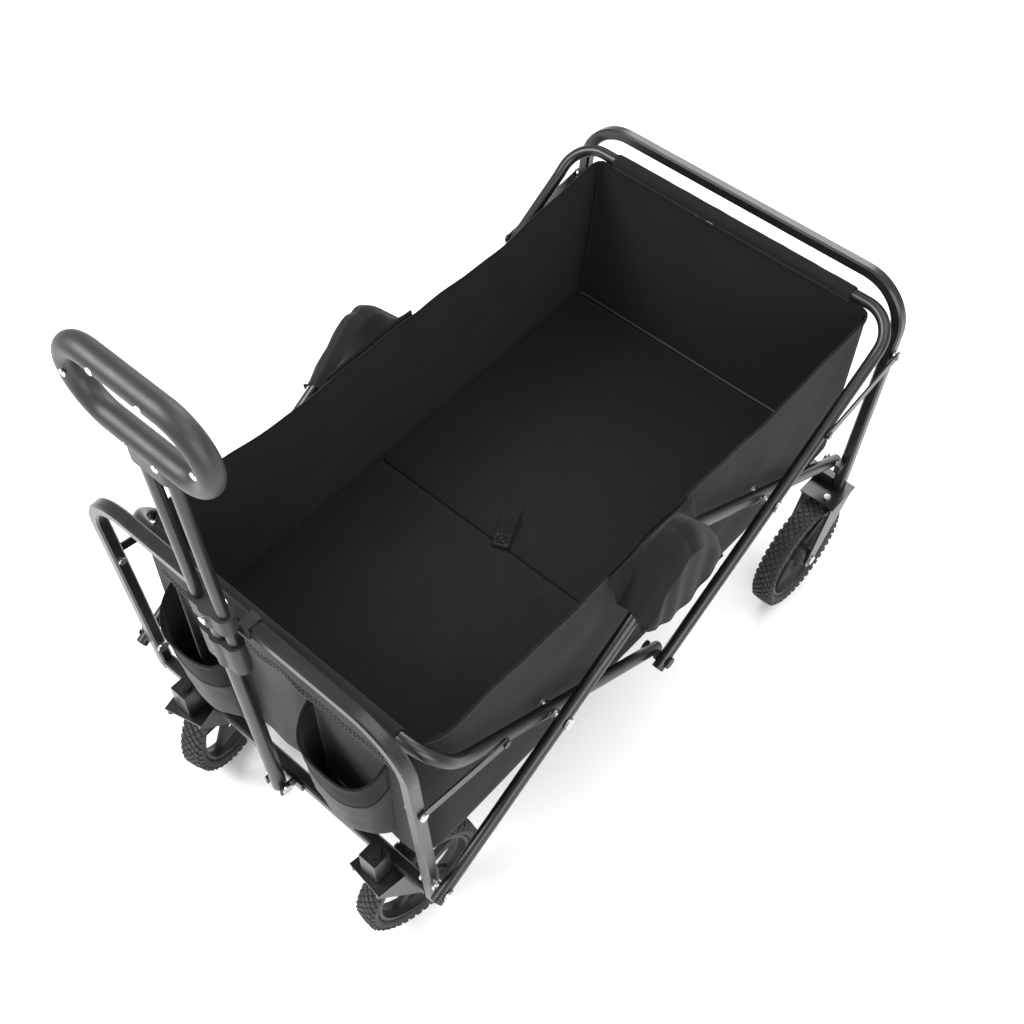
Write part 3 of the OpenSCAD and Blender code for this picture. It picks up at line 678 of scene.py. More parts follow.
@dataclass
class SteelFrame:
    """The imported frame's own nodes, dressed with their finishes."""

    finishes: Finishes

    KINDS = {
        Kind.STEEL: (
            "front_frame", "front_crossbar", "caster_housings", "handle_bracket", "caster_fork_left",
            "caster_fork_right", "front_arms", "rear_arms", "front_hoop", "rear_hoop", "rear_frame",
            "rear_crossbar", "rear_forks", "front_links", "rear_links", "lower_tube", "upper_tubes",
            "kingpin_left", "kingpin_right",
        ),
        Kind.ZINC: (
            "front_arm_pins", "front_link_pins", "front_cross_pins", "rear_cross_pins", "rear_arm_pins",
            "rear_link_pins", "rear_fork_bolts", "front_axle_left", "front_axle_right", "rear_axles",
            "handle_pivot_bolt", "connector_rivet",
        ),
        Kind.PLASTIC: (
            "front_feet", "handle_clip", "front_arm_caps", "rear_arm_caps", "front_hoop_caps",
            "rear_hoop_caps", "top_joint_pins", "lower_joint_pins", "tube_connector", "tube_slider",
        ),
        Kind.GRIP: ("grip_front", "grip_back"),
    }

    def dress(self, nodes: dict[str, bpy.types.Object]) -> None:
        """Puts each node's finish on its material slots.

        Args:
            nodes: The frame's nodes by name.
        """
        look = {
            Kind.STEEL: self.finishes.steel,
            Kind.ZINC: self.finishes.zinc,
            Kind.PLASTIC: self.finishes.plastic,
            Kind.GRIP: self.finishes.grip,
        }
        for kind, names in self.KINDS.items():
            for name in names:
                for slot in nodes[name].material_slots:
                    slot.material = look[kind]
            LOG.info("%s: %d nodes", kind.value, len(names))


# ------------------------------------------------------------------ sewing


@dataclass
class Seamstress:
    """Lays rows of stitches along a seam."""

    finishes: Finishes
    pitch: float = 0.006
    length: float = 0.0042
    radius: float = 0.00055

    def row(self, name: str, path: list[Vector], normal: Callable[[Vector], Vector]) -> bpy.types.Object:
        """One row of stitches, half sunk into the cloth.

        Args:
            name: The row's name.
            path: The seam's points.
            normal: The cloth's outward direction at a point.

        Returns:
            The row.
        """
        half, thick = self.length / 2, self.radius
        stitch = box(name, (-half, -thick, -thick), (half, thick, thick))
        with editing(stitch, "EDGE"):
            bpy.ops.mesh.select_all(action="SELECT")
            bpy.ops.mesh.bevel(offset=self.radius * 0.6, segments=1, affect="EDGES")
        places: list[Matrix] = []
        carried = self.pitch / 2
        for start, end in zip(path, path[1:]):
            run = (end - start).length
            while carried < run:
                at = start.lerp(end, carried / run)
                along = (end - start).normalized()
                up = normal(at)
                across = up.cross(along).normalized()
                up = along.cross(across)
                turn = Matrix((along, across, up)).transposed().to_4x4()
                places.append(Matrix.Translation(at) @ turn)
                carried += self.pitch
            carried -= run
        row = copies(stitch, places, name)
        wear(row, self.finishes.stitch)
        return row


# ------------------------------------------------------------------ the basket


@dataclass
class Basket:
    """The fabric basket: bag, rim binding, hems, front panel, pockets and hand-hold flaps."""

    finishes: Finishes
    front: float
    rear: float
    floor: float
    half: float
    floor_rear: float
    rim_half: float
    front_rim: float
    rear_rim: float
    fold_keep: float = 0.15
    cloth: float = 0.0018
    rows: int = 14
    cells_long: int = 64
    cells_wide: int = 34
    binding_h: float = 0.010
    binding_extra: float = 0.0022
    welt_r: float = 0.0014
    welt_steps: int = 40

    RIM = [
        (-0.385, 0.0), (-0.30, 0.001), (-0.16, -0.013), (0.0, -0.008),
        (0.10, -0.010), (0.22, -0.018), (0.34, -0.007), (0.44, 0.0),
    ]

    def rim_height(self, x: float) -> float:
        """The rim's height at a place along the side, sagging between its supports."""
        t = (x - self.front) / (self.rear - self.front)
        return self.front_rim + (self.rear_rim - self.front_rim) * t + blend_table(self.RIM, x)

    def rounded(self, u: float, w: float, a: float, b: float, r: float) -> tuple[float, float]:
        """Maps a point of the unit square onto a rectangle with rounded corners.

        Args:
            u: Place along X, -1 to 1.
            w: Place along Y, -1 to 1.
            a: Half length.
            b: Half width.
            r: Corner radius.

        Returns:
            The point's x and y from the rectangle's centre.
        """
        x, y = u * a, w * b
        dx, dy = abs(x) - (a - r), abs(y) - (b - r)
        if dx > 0 and dy > 0:
            k = max(dx, dy) / math.hypot(dx, dy)
            x = math.copysign(a - r + dx * k, x)
            y = math.copysign(b - r + dy * k, y)
        return x, y

    def level(self, u: float, w: float, t: float) -> Vector:
        """A point of the bag at height share t: 0 at the floor, 1 at the rim.

        Args:
            u: Place along X, -1 to 1.
            w: Place along Y, -1 to 1.
            t: Height share.

        Returns:
            The point.
        """
        rear = self.floor_rear + (self.rear - self.floor_rear) * t
        half = self.half + (self.rim_half - self.half) * t
        a = (rear - self.front) / 2
        radius = 0.016 + 0.040 * t if u < 0 else 0.008 + 0.008 * t
        x, y = self.rounded(u, w, a, half, radius)
        x += (rear + self.front) / 2
        wall = max(abs(u), abs(w))
        if wall > 0.999:
            crease = ripple(Vector((x, y, 0.5 * t)), 9.0) * 0.5 + 0.5
            belly = math.sin(math.pi * min(1.0, t)) ** 1.2
            span = max(0.0, 1 - u * u) if abs(w) > 0.999 else max(0.0, 1 - w * w)
            slack = 0.004 * t * t * span + 0.0035 * crease * span * (0.4 + belly)
            tuck = 0.0016 * span * (0.5 + 0.5 * math.sin(70 * x + 45 * y + 6 * t)) * t
            if abs(w) > 0.999:
                y -= math.copysign(slack + tuck, w)
            if abs(u) > 0.999:
                x -= math.copysign(slack + tuck, u)
        top = self.rim_height(x) if abs(w) > 0.999 or abs(u) > 0.999 else self.floor
        z = self.floor + (top - self.floor) * t
        return Vector((x, y, z))

    def crumple(self, obj: bpy.types.Object) -> None:
        """Gives a piece of the basket its own copy of its mesh."""
        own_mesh(obj)

    def bag(self) -> None:
        """The bag, the binding along its rim and its welts."""
        obj = lattice("basket_bag", self.cells_long, self.cells_wide)
        share = [min(1.0, (k / self.rows) ** 0.95) for k in range(self.rows)] + [1.0]
        height = self.front_rim - self.floor
        share[-2] = 1 - self.binding_h / height
        with editing(obj, "EDGE"):
            bpy.ops.mesh.select_all(action="SELECT")
            bpy.ops.mesh.region_to_loop()
            for low, high in zip(share, share[1:]):
                bpy.ops.mesh.extrude_edges_move(TRANSFORM_OT_translate={"value": (0, 0, high - low)})
        shape(obj, lambda p: self.level(p.x, p.y, p.z))
        edge = copy_to(obj, "rim_binding", Matrix.Identity(4))
        with editing(edge):
            choose(edge, "faces", lambda f: not self.in_binding(f))
            bpy.ops.mesh.delete(type="FACE")
        for piece in (obj, edge):
            face_outwards(piece)
        modify(obj, "SOLIDIFY", thickness=self.cloth, offset=-1.0)
        modify(edge, "SOLIDIFY", thickness=self.cloth + self.binding_extra, offset=0.0)
        shape(edge, lambda p: Vector((p.x * 0.9995, p.y * 0.9992, p.z)))
        for piece in (obj, edge):
            modify(piece, "SUBSURF", levels=1, render_levels=1)
            smooth(piece, 60)
        fit(obj, "basket", "basket_cloth", self.finishes.lining, "basket")
        fit(edge, "basket", "basket_cloth", self.finishes.webbing)
        welts = self.welts()
        for piece in (obj, edge, *welts):
            self.crumple(piece)

    def welts(self) -> list[bpy.types.Object]:
        """The piping round the floor's edge and up both rear corners.

        Returns:
            The piping, one piece for each seam.
        """
        share = (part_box("floor_board_front")[1][2] + 0.0015 - self.floor) / (self.front_rim - self.floor)
        turn = [2 * k / self.welt_steps - 1 for k in range(self.welt_steps + 1)]
        climb = [share + (0.98 - share) * (u + 1) / 2 for u in turn]
        seams = {
            "floor_welt_right": [(u, -1.0, share) for u in turn],
            "floor_welt_left": [(u, 1.0, share) for u in turn],
            "floor_welt_rear": [(1.0, w, share) for w in turn],
            "corner_welt_right": [(1.0, -1.0, t) for t in climb],
            "corner_welt_left": [(1.0, 1.0, t) for t in climb],
        }
        middle = (self.front + self.floor_rear) / 2
        pieces: list[bpy.types.Object] = []
        for name, places in seams.items():
            path = [self.level(*place) for place in places]
            path = [Vector((middle + (p.x - middle) * 0.9915, p.y * 0.984, p.z)) for p in path]
            rod = drum(name, (0, 0, 0), self.welt_r, 1.0, 8)
            lengths: list[Matrix] = []
            for start, end in zip(path, path[1:]):
                along = end - start
                aim = along.to_track_quat("Y", "Z").to_matrix().to_4x4()
                stretch = Matrix.Diagonal((1, along.length, 1, 1))
                lengths.append(Matrix.Translation((start + end) / 2) @ aim @ stretch)
            piece = smooth(copies(rod, lengths, name), 60)
            # The rear floor piping gets the lighter stitch-thread finish as a painted highlight; the side
            # and corner piping stay dark webbing.
            finish = self.finishes.stitch if name == "floor_welt_rear" else self.finishes.webbing
            fit(piece, "basket", "basket_cloth", finish)
            pieces.append(piece)
        return pieces

    def in_binding(self, face: object) -> bool:
        """Whether a face of the bare bag lies in the rim's top row."""
        centre = face.calc_center_median()
        return abs(face.normal.z) < 0.7 and centre.z > self.rim_height(centre.x) - self.binding_h * 0.9

    def sheet_piece(self, obj: bpy.types.Object, thickness: float) -> float:
        """Gives a shaped sheet its thickness and smooths it.

        Args:
            obj: The sheet.
            thickness: How thick the cloth is.

        Returns:
            The sheet's area on one side.
        """
        area = area_of(obj)
        modify(obj, "SOLIDIFY", thickness=thickness, offset=0.0)
        modify(obj, "SUBSURF", levels=1, render_levels=1)
        face_outwards(obj)
        smooth(obj, 60)
        return area


@dataclass
class Hem:
    """A sewn sleeve that wraps a hoop's cross tube."""

    finishes: Finishes
    word: str
    inner: float = 0.0083
    steps: int = 60

    def build(self) -> None:
        """The sleeve."""
        node = f"{self.word}_hem"
        low, high = (Vector(c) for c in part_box(node))
        centre = (low + high) / 2
        half = high.y - centre.y
        outer = self.inner + 0.0007
        clear_selection()
        bpy.ops.mesh.primitive_cylinder_add(
            vertices=28, radius=outer, depth=2 * half, end_fill_type="NOTHING",
            location=centre, rotation=(math.pi / 2, 0, 0),
        )
        obj = named(f"{self.word}_hem_sleeve")
        with editing(obj):
            for step in range(1, self.steps):
                bpy.ops.mesh.select_all(action="SELECT")
                at = centre.y - half + 2 * step * half / self.steps
                bpy.ops.mesh.bisect(plane_co=(0, at, 0), plane_no=(0, 1, 0))

        def gather(p: Vector) -> Vector:
            """Small puckers that the seam pulls round the tube."""
            away = Vector((p.x - centre.x, 0, p.z - centre.z))
            pucker = 0.0009 * max(0.0, ripple(p, 60, 3)) + 0.0006 * max(0.0, ripple(p, 24, 7))
            below = max(0.0, -away.z / outer)
            return p + away.normalized() * (pucker + 0.0012 * below * below)

        shape(obj, gather)
        modify(obj, "SOLIDIFY", thickness=0.0012, offset=1.0)
        face_outwards(obj)
        modify(obj, "SUBSURF", levels=1, render_levels=1)
        smooth(obj, 60)
        fit(obj, f"{self.word}_hoop", "basket_cloth", self.finishes.lining, node)


@dataclass
class FrontPanel:
    """The outer cloth in front: a hanging panel, the band under the hem and two cup pockets."""

    finishes: Finishes
    seams: Seamstress
    basket: Basket
    face: float
    top: float
    bottom: float
    half: float
    pocket_y: float = 0.114
    pocket_depth: float = 0.034
    pocket_mouth: float = 0.047
    pocket_half: float = 0.059
    pocket_gap: float = 0.0028
    pocket_tuck: float = 0.0024
    stitch_lift: float = 0.0009

    def hang(
        self, name: str, half: float, low: float, high: float, off: float, flare: float, nodes: tuple = ()
    ) -> None:
        """A sheet that hangs in front of the basket wall.

        Args:
            name: The piece's name.
            half: Half its width.
            low: Its lower edge.
            high: Its upper edge.
            off: How far it stands in front of the wall.
            flare: How far its lower edge lifts away.
            nodes: The frame nodes that it replaces.
        """
        obj = lattice(name, 10, 44)

        def drape(p: Vector) -> Vector:
            """From the unit grid to the hanging cloth, with shallow folds."""
            y = p.y * half
            down = (1 - p.x) / 2
            z = low + (high - low) * (1 - down)
            lift = self.lift(y, z, down, off, flare)
            return Vector((self.face - lift, y, z + 0.0015 * down * math.sin(y * 60 + 1)))

        shape(obj, drape)
        area = self.basket.sheet_piece(obj, 0.0013)
        fit(obj, "basket", "panel_cloth", self.finishes.panel, *nodes)
        self.basket.crumple(obj)

    def lift(self, y: float, z: float, down: float, off: float, flare: float) -> float:
        """How far a hanging sheet stands in front of the wall.

        Args:
            y: Place across.
            z: Height.
            down: Share of the way down the sheet.
            off: How far its top stands in front.
            flare: How far its lower edge lifts away.

        Returns:
            The distance.
        """
        fold = 0.0014 * ripple(Vector((0, y, z * 0.35)), 26, off * 900)
        return off + flare * down * down + fold * down + 0.0012 * down * math.sin(y * 95)

    def pocket_point(self, centre: float, low: float, u: float, v: float) -> Vector:
        """A point of a pocket's cloth.

        Args:
            centre: The pocket's place along Y.
            low: Its lowest height.
            u: Place around it, -1 to 1.
            v: Place up it, 0 to 1.

        Returns:
            The point.
        """
        angle = u * math.pi / 2
        reach = abs(math.cos(angle)) ** 0.72
        across = math.copysign(abs(math.sin(angle)) ** 0.72, u)
        base = math.sqrt(min(1.0, v / 0.16))
        depth = (self.pocket_depth + (self.pocket_mouth - self.pocket_depth) * v) * base * reach
        width = self.pocket_half * (0.93 + 0.07 * v)
        top = 0.408 + 0.022 * abs(u) ** 3 - 0.014 * (1 - u * u)
        z = low + (top - low) * v
        pleat = 0.0022 * math.sin(9 * u + 2.5) * (1 - v) ** 0.6 * reach * base
        sag = 0.0016 * ripple(Vector((u * 0.06, centre, z)), 40, 4) * reach
        back = self.face - self.pocket_gap
        foot = self.pocket_tuck * (1 - base)
        return Vector((back + foot - max(0.0, depth + pleat + sag), centre + across * width, z))

    def pocket(self, side: Side, low: float) -> None:
        """A cup pocket: cloth below, a net band above and a bound edge round its mouth.

        Args:
            side: Which pocket.
            low: Its lowest height.
        """
        y = side.value * self.pocket_y
        name = f"cup_pocket_{side.word}"
        bands = (
            ("cloth", 0.0, 0.66, 30, 20, 0.0014, 0.0), ("edge", 0.94, 1.0, 30, 2, 0.0030, 0.0),
            ("seam", 0.64, 0.68, 30, 1, 0.0024, 0.0), ("lining", 0.02, 0.97, 30, 26, 0.0010, 0.0022),
        )
        pieces: dict[str, bpy.types.Object] = {}
        for word, start, end, across, along, thick, inward in bands:
            obj = lattice(f"{name}_{word}", across, along)

            def lay(p: Vector) -> Vector:
                """From the unit grid to the pocket, drawn in towards its middle for the lining."""
                q = self.pocket_point(y, low, p.x, start + (end - start) * (p.y + 1) / 2)
                share = 1 - inward / 0.05
                back = self.face - self.pocket_gap
                return Vector((back + (q.x - back) * share, y + (q.y - y) * share, q.z))

            shape(obj, lay)
            self.basket.sheet_piece(obj, thick)
            pieces[word] = obj
        net = lattice(f"{name}_net", 40, 12)
        corners = len(net.data.vertices)
        with editing(net):
            bpy.ops.mesh.select_all(action="SELECT")
            bpy.ops.mesh.poke()
        with editing(net, "EDGE"):
            choose(net, "edges", lambda e: not e.is_boundary and max(v.index for v in e.verts) < corners)
            bpy.ops.mesh.dissolve_edges(use_verts=False)
        shape(net, lambda p: self.pocket_point(y, low, p.x, 0.67 + 0.28 * (p.y + 1) / 2))
        modify(net, "WIREFRAME", thickness=0.0009, use_even_offset=False)
        smooth(net, 60)
        fit(pieces["cloth"], "basket", "panel_cloth", self.finishes.panel, "cup_pockets")
        fit(pieces["edge"], "basket", "panel_cloth", self.finishes.webbing)
        fit(pieces["seam"], "basket", "panel_cloth", self.finishes.webbing)
        fit(pieces["lining"], "basket", "panel_cloth", self.finishes.lining)
        fit(net, "basket", "panel_cloth", self.finishes.net)
        for piece in (*pieces.values(), net):
            self.basket.crumple(piece)

    def build(self) -> None:
        """Hangs the panel, the band, its stitching and the pockets."""
        self.hang("front_panel", self.half + 0.014, self.bottom, self.top - 0.004, 0.0010, 0.0004)
        low, high = (Vector(c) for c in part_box("front_flap"))
        band_top, off, flare = high.z + 0.004, 0.0030, 0.0035
        self.hang("front_band", high.y, low.z, band_top, off, flare, ("front_flap",))
        reach = high.y - 0.006
        for k, height in enumerate((high.z - 0.010, low.z + 0.012, low.z + 0.006)):
            down = (band_top - height) / (band_top - low.z)
            across = [reach * (2 * step / 90 - 1) for step in range(91)]
            path = [
                Vector((self.face - self.stitch_lift - self.lift(y, height, down, off, flare), y, height))
                for y in across
            ]
            row = self.seams.row(f"band_stitches_{k + 1}", path, lambda p: Vector((-1, 0, 0)))
            wear(row, self.finishes.webbing)
            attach(row, "basket")
            self.basket.crumple(row)
        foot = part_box("cup_pockets")[0][2] + 0.001
        for side in Side:
            self.pocket(side, foot)


@dataclass
class Handhold:
    """A flap of cloth that lies over a top joint and hangs outside the side tubes."""

    finishes: Finishes
    basket: Basket
    side: Side
    left: float = -0.085
    right: float = 0.064
    peak: float = 0.519
    outside: float = 0.2735

    def point(self, u: float, v: float) -> Vector:
        """A point of the flap.

        Args:
            u: Place along the side, -1 to 1.
            v: Place from the rim outwards and down, 0 to 1.

        Returns:
            The point.
        """
        x = self.left + (self.right - self.left) * (u + 1) / 2
        ridge = math.exp(-((u - 0.16) / 0.50) ** 2)
        rim = self.basket.rim_height(x)
        ends = rim - 0.036 * u * u
        top = ends + (self.peak - ends) * ridge
        hang = 0.392 + 0.030 * abs(u) ** 2.4 + (0.010 if u < 0 else 0.0) * u * u
        path = [
            (0.0, 0.2215, rim - 0.010), (0.10, 0.2240, rim + 0.0015), (0.24, 0.236, top - 0.005),
            (0.34, 0.250, top), (0.44, 0.264, top - 0.009), (0.54, self.outside, top - 0.028),
            (1.0, self.outside + 0.0010, hang),
        ]
        y = blend_table([(a, b) for a, b, _ in path], v)
        z = blend_table([(a, c) for a, _, c in path], v)
        fall = max(0.0, (v - 0.3) / 0.7)
        spread = math.sin(13.0 * u + 5.0 * v + 0.8) * 0.5 + 0.5
        fold = 0.0042 * spread * (1 - ridge * 0.5) * math.sqrt(fall)
        fold += 0.0035 * (ripple(Vector((x, 0.2 * v, 0)), 22, 2 + self.side.value) + 0.4) * fall
        crease = 0.005 * math.exp(-((u - 0.12) / 0.07) ** 2) * max(0.0, 1 - abs(v - 0.42) / 0.3)
        return Vector((x, self.side.value * (y + max(0.0, fold)), z - crease))

    def build(self) -> None:
        """The flap, with a bound edge."""
        name = f"handhold_{self.side.word}"
        obj = lattice(name, 44, 36)
        shape(obj, lambda p: self.point(p.x, (p.y + 1) / 2))
        area = self.basket.sheet_piece(obj, 0.0016)
        edge = lattice(f"{name}_binding", 44, 1)
        shape(edge, lambda p: self.point(p.x, 0.965 + 0.035 * (p.y + 1) / 2))
        self.basket.sheet_piece(edge, 0.0034)
        fit(obj, "basket", "basket_cloth", self.finishes.lining, "handholds")
        fit(edge, "basket", "basket_cloth", self.finishes.webbing)
        self.basket.crumple(obj)
        self.basket.crumple(edge)


@dataclass
class FloorMat:
    """Half of the stiffened floor: a board in a cloth cover with a quilted edge."""

    finishes: Finishes
    word: str
    crown: float = 0.0022
    cells: tuple = (28, 32)

    def build(self) -> None:
        """The mat."""
        node = f"floor_board_{self.word}"
        low, high = (Vector(c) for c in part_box(node))
        obj = box(f"floor_mat_{self.word}", tuple(low), tuple(high))
        with editing(obj, "EDGE"):
            choose(obj, "edges", lambda e: abs((e.verts[0].co - e.verts[1].co).z) > 0.001)
            bpy.ops.mesh.bevel(offset=0.010, segments=3, affect="EDGES")
        with editing(obj):
            for axis, cells in enumerate(self.cells):
                for k in range(1, cells):
                    at, across = Vector(), Vector()
                    at[axis] = low[axis] + (high[axis] - low[axis]) * k / cells
                    across[axis] = 1
                    bpy.ops.mesh.select_all(action="SELECT")
                    bpy.ops.mesh.bisect(plane_co=at, plane_no=across)

        def quilt(p: Vector) -> Vector:
            """A low crown that pulls down at the stitched edge."""
            if p.z < high.z - 1e-5:
                return p
            edge = max(0.0, min(p.x - low.x, high.x - p.x, p.y - low.y, high.y - p.y))
            rise = self.crown * min(1.0, edge / 0.012) ** 0.6
            dip = 0.0003 * math.exp(-((edge - 0.010) / 0.003) ** 2)
            swell = 0.0006 * ripple(p, 14, 6)
            return Vector((p.x, p.y, p.z - self.crown * 0.6 + rise - dip + swell * min(1.0, edge / 0.05)))

        shape(obj, quilt)
        modify(obj, "BEVEL", width=0.0014, segments=2, limit_method="ANGLE", angle_limit=math.radians(50))
        face_outwards(obj)
        smooth(obj, 50)
        fit(obj, f"floor_{self.word}", "floor_cloth", self.finishes.mat, node)


@dataclass
class PullTab:
    """The webbing tab that lifts the folding floor."""

    finishes: Finishes
    seams: Seamstress
    x: float
    z: float
    length: float = 0.070
    width: float = 0.024
    turn: float = 25.0
    hump: float = 0.0050

    def build(self) -> None:
        """The tab, doubled over and sewn down at its foot."""
        obj = lattice("pull_tab_webbing", 22, 8)
        place = Matrix.Translation((self.x, -self.width / 2, self.z))
        place = place @ Matrix.Rotation(math.radians(self.turn), 4, "Z")

        def lay(p: Vector) -> Vector:
            """A strap that rises in a low hump and comes down at its tip."""
            t = (p.x + 1) / 2
            lift = self.hump * math.sin(math.pi * min(1.0, t * 1.02)) ** 2
            return place @ Vector((t * self.length, (p.y + 1) / 2 * self.width, 0.0012 + lift))

        shape(obj, lay)
        modify(obj, "SOLIDIFY", thickness=0.0020, offset=0.0)
        modify(obj, "BEVEL", width=0.0004, segments=2, limit_method="ANGLE", angle_limit=math.radians(60))
        face_outwards(obj)
        smooth(obj, 50)
        fit(obj, "floor_rear", "floor_cloth", self.finishes.webbing, "pull_tab")
        near, far, side = 0.003, 0.018, 0.021
        corners = ((near, near), (far, near), (far, side), (near, side), (near, near), (far, side))
        path = [
            place @ Vector((x, y, 0.0028 + self.hump * math.sin(math.pi * x / self.length) ** 2))
            for x, y in corners
        ]
        row = self.seams.row("pull_tab_stitches", path, lambda p: Vector((0, 0, 1)))
        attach(row, "floor_rear")


# ------------------------------------------------------------------ the wheels


@dataclass
class Wheel:
    """A spoked plastic wheel with a block-tread tyre."""

    finishes: Finishes
    radius: float = 0.089
    width: float = 0.032
    rim_r: float = 0.072
    hub_r: float = 0.015
    hub_w: float = 0.040
    spokes: int = 5
    bore: float = 0.0042
    pitches: int = 46

    def carcass(self) -> bpy.types.Object:
        """The tyre without its blocks: a rounded section spun about the axle."""
        clear_selection()
        depth = self.radius - 0.0026 - self.rim_r
        bpy.ops.mesh.primitive_circle_add(
            vertices=20, radius=1.0, location=(0, 0, 0), rotation=(0, math.pi / 2, 0), fill_type="NOTHING"
        )
        obj = named("carcass")

        def section(p: Vector) -> Vector:
            """A squared-off oval, with its inner face on the rim."""
            ay, az = abs(p.y) ** 0.55, abs(p.z) ** 0.62
            y = math.copysign(ay, p.y) * (self.width / 2 - 0.0006)
            z = self.rim_r + 0.0004 + depth * (math.copysign(az, p.z) + 1) / 2
            return Vector((0, y, z))

        shape(obj, section)
        with editing(obj, "EDGE"):
            bpy.ops.mesh.select_all(action="SELECT")
            bpy.ops.mesh.spin(steps=96, angle=2 * math.pi, center=(0, 0, 0), axis=(0, 1, 0))
            bpy.ops.mesh.select_all(action="SELECT")
            bpy.ops.mesh.remove_doubles(threshold=1e-5)
        face_outwards(obj)
        return obj

    def block(self, name: str, size: tuple, taper: float) -> bpy.types.Object:
        """One tread block, its foot at the origin, with an inset top and bevelled uprights.

        Args:
            name: Its name.
            size: Its size along X, Y and Z.
            taper: The inset top's share of the foot.

        Returns:
            The block.
        """
        obj = box(name, (-size[0] / 2, -size[1] / 2, 0), (size[0] / 2, size[1] / 2, size[2]))
        with editing(obj):
            choose(obj, "faces", lambda f: f.normal.z > 0.9)
            bpy.ops.mesh.inset(thickness=min(size[0], size[1]) * (1 - taper) / 2)
        with editing(obj, "EDGE"):
            choose(obj, "edges", lambda e: abs(e.verts[0].co.z - e.verts[1].co.z) > size[2] / 2)
            bpy.ops.mesh.bevel(offset=size[2] * 0.12, segments=1, affect="EDGES")
        return obj

    def tread(self) -> bpy.types.Object:
        """All tread blocks: staggered diamonds across the crown and lugs on both shoulders."""
        diamond = self.block("diamond", (0.0060, 0.0060, 0.0042), 0.78)
        lug = self.block("lug", (0.0068, 0.0050, 0.0028), 0.8)
        step = 2 * math.pi / self.pitches
        foot = self.radius - 0.0042
        diamonds: list[Matrix] = []
        lugs: list[Matrix] = []
        for k in range(self.pitches):
            for row, offsets in enumerate(((-0.0104, 0.0, 0.0104), (-0.0052, 0.0052))):
                turn = Matrix.Rotation(step * (k + 0.5 * row), 4, "Y")
                for y in offsets:
                    drop = 0.0007 * abs(y) / 0.0104
                    diamonds.append(
                        turn @ Matrix.Translation((0, y, foot - drop)) @ Matrix.Rotation(math.pi / 4, 4, "Z")
                    )
            turn = Matrix.Rotation(step * (k + 0.5), 4, "Y")
            for side in (-1, 1):
                tilt = Matrix.Rotation(-side * math.radians(42), 4, "X")
                lugs.append(turn @ Matrix.Translation((0, side * 0.0133, self.radius - 0.0060)) @ tilt)
        return merge([copies(diamond, diamonds, "diamonds"), copies(lug, lugs, "lugs")], "tread")

    def tyre(self) -> bpy.types.Object:
        """The tyre, centred on the origin with its axle along Y."""
        obj = merge([self.carcass(), self.tread()], "tyre")
        return smooth(obj, 35)

    def rim(self) -> bpy.types.Object:
        """The rim, hub and ribbed spokes, centred on the origin with the axle along Y."""
        half = self.width / 2 - 0.004
        ring = drum("ring", (0, 0, 0), self.rim_r, 2 * half, 96)
        with editing(ring):
            choose(ring, "faces", lambda f: abs(f.normal.y) > 0.9)
            bpy.ops.mesh.inset(thickness=0.0032)
            bpy.ops.mesh.inset(thickness=0.0012)
            bpy.ops.mesh.delete(type="FACE")
        with editing(ring, "EDGE"):
            choose(ring, "edges", lambda e: e.is_boundary)
            bpy.ops.mesh.bridge_edge_loops(number_cuts=3)
        inner = self.rim_r - 0.0044

        def dish(p: Vector) -> Vector:
            """A thicker middle rib inside the rim."""
            away = math.hypot(p.x, p.z)
            if away > inner + 0.0004:
                return p
            rib = 0.0022 * math.exp(-(p.y / 0.0035) ** 2)
            scale = (inner - rib) / away
            return Vector((p.x * scale, p.y, p.z * scale))

        shape(ring, dish)
        face_outwards(ring)
        hub = drum("hub", (0, 0, 0), self.hub_r, self.hub_w - 0.010, 40)
        with editing(hub):
            choose(hub, "faces", lambda f: abs(f.normal.y) > 0.9)
            bpy.ops.mesh.inset(thickness=0.0028)
            stretch = self.hub_w / (self.hub_w - 0.010)
            bpy.ops.transform.resize(value=(1, stretch, 1), center_override=(0, 0, 0))
            bpy.ops.mesh.inset(thickness=self.hub_r - 0.0028 - self.bore)
            bpy.ops.mesh.delete(type="FACE")
        with editing(hub, "EDGE"):
            choose(hub, "edges", lambda e: e.is_boundary)
            bpy.ops.mesh.bridge_edge_loops()
        modify(hub, "BEVEL", width=0.0008, segments=2, limit_method="ANGLE", angle_limit=math.radians(40))
        face_outwards(hub)
        spoke = box("spoke", (-0.0075, -0.0046, self.hub_r - 0.003), (0.0075, 0.0046, self.rim_r - 0.003))
        with editing(spoke):
            choose(spoke, "faces", lambda f: f.normal.z > 0.9)
            bpy.ops.transform.resize(value=(0.78, 0.75, 1), center_override=(0, 0, self.rim_r))
            choose(spoke, "faces", lambda f: abs(f.normal.y) > 0.8)
            bpy.ops.mesh.inset(thickness=0.0024)
            bpy.ops.transform.resize(value=(1, 0.35, 1), center_override=(0, 0, 0.04))
        modify(spoke, "BEVEL", width=0.0007, segments=2, limit_method="ANGLE", angle_limit=math.radians(35))
        turns = [Matrix.Rotation(2 * math.pi * k / self.spokes, 4, "Y") for k in range(self.spokes)]
        star = copies(spoke, turns, "star")
        obj = merge([ring, hub, star], "rim")
        return smooth(obj, 35)

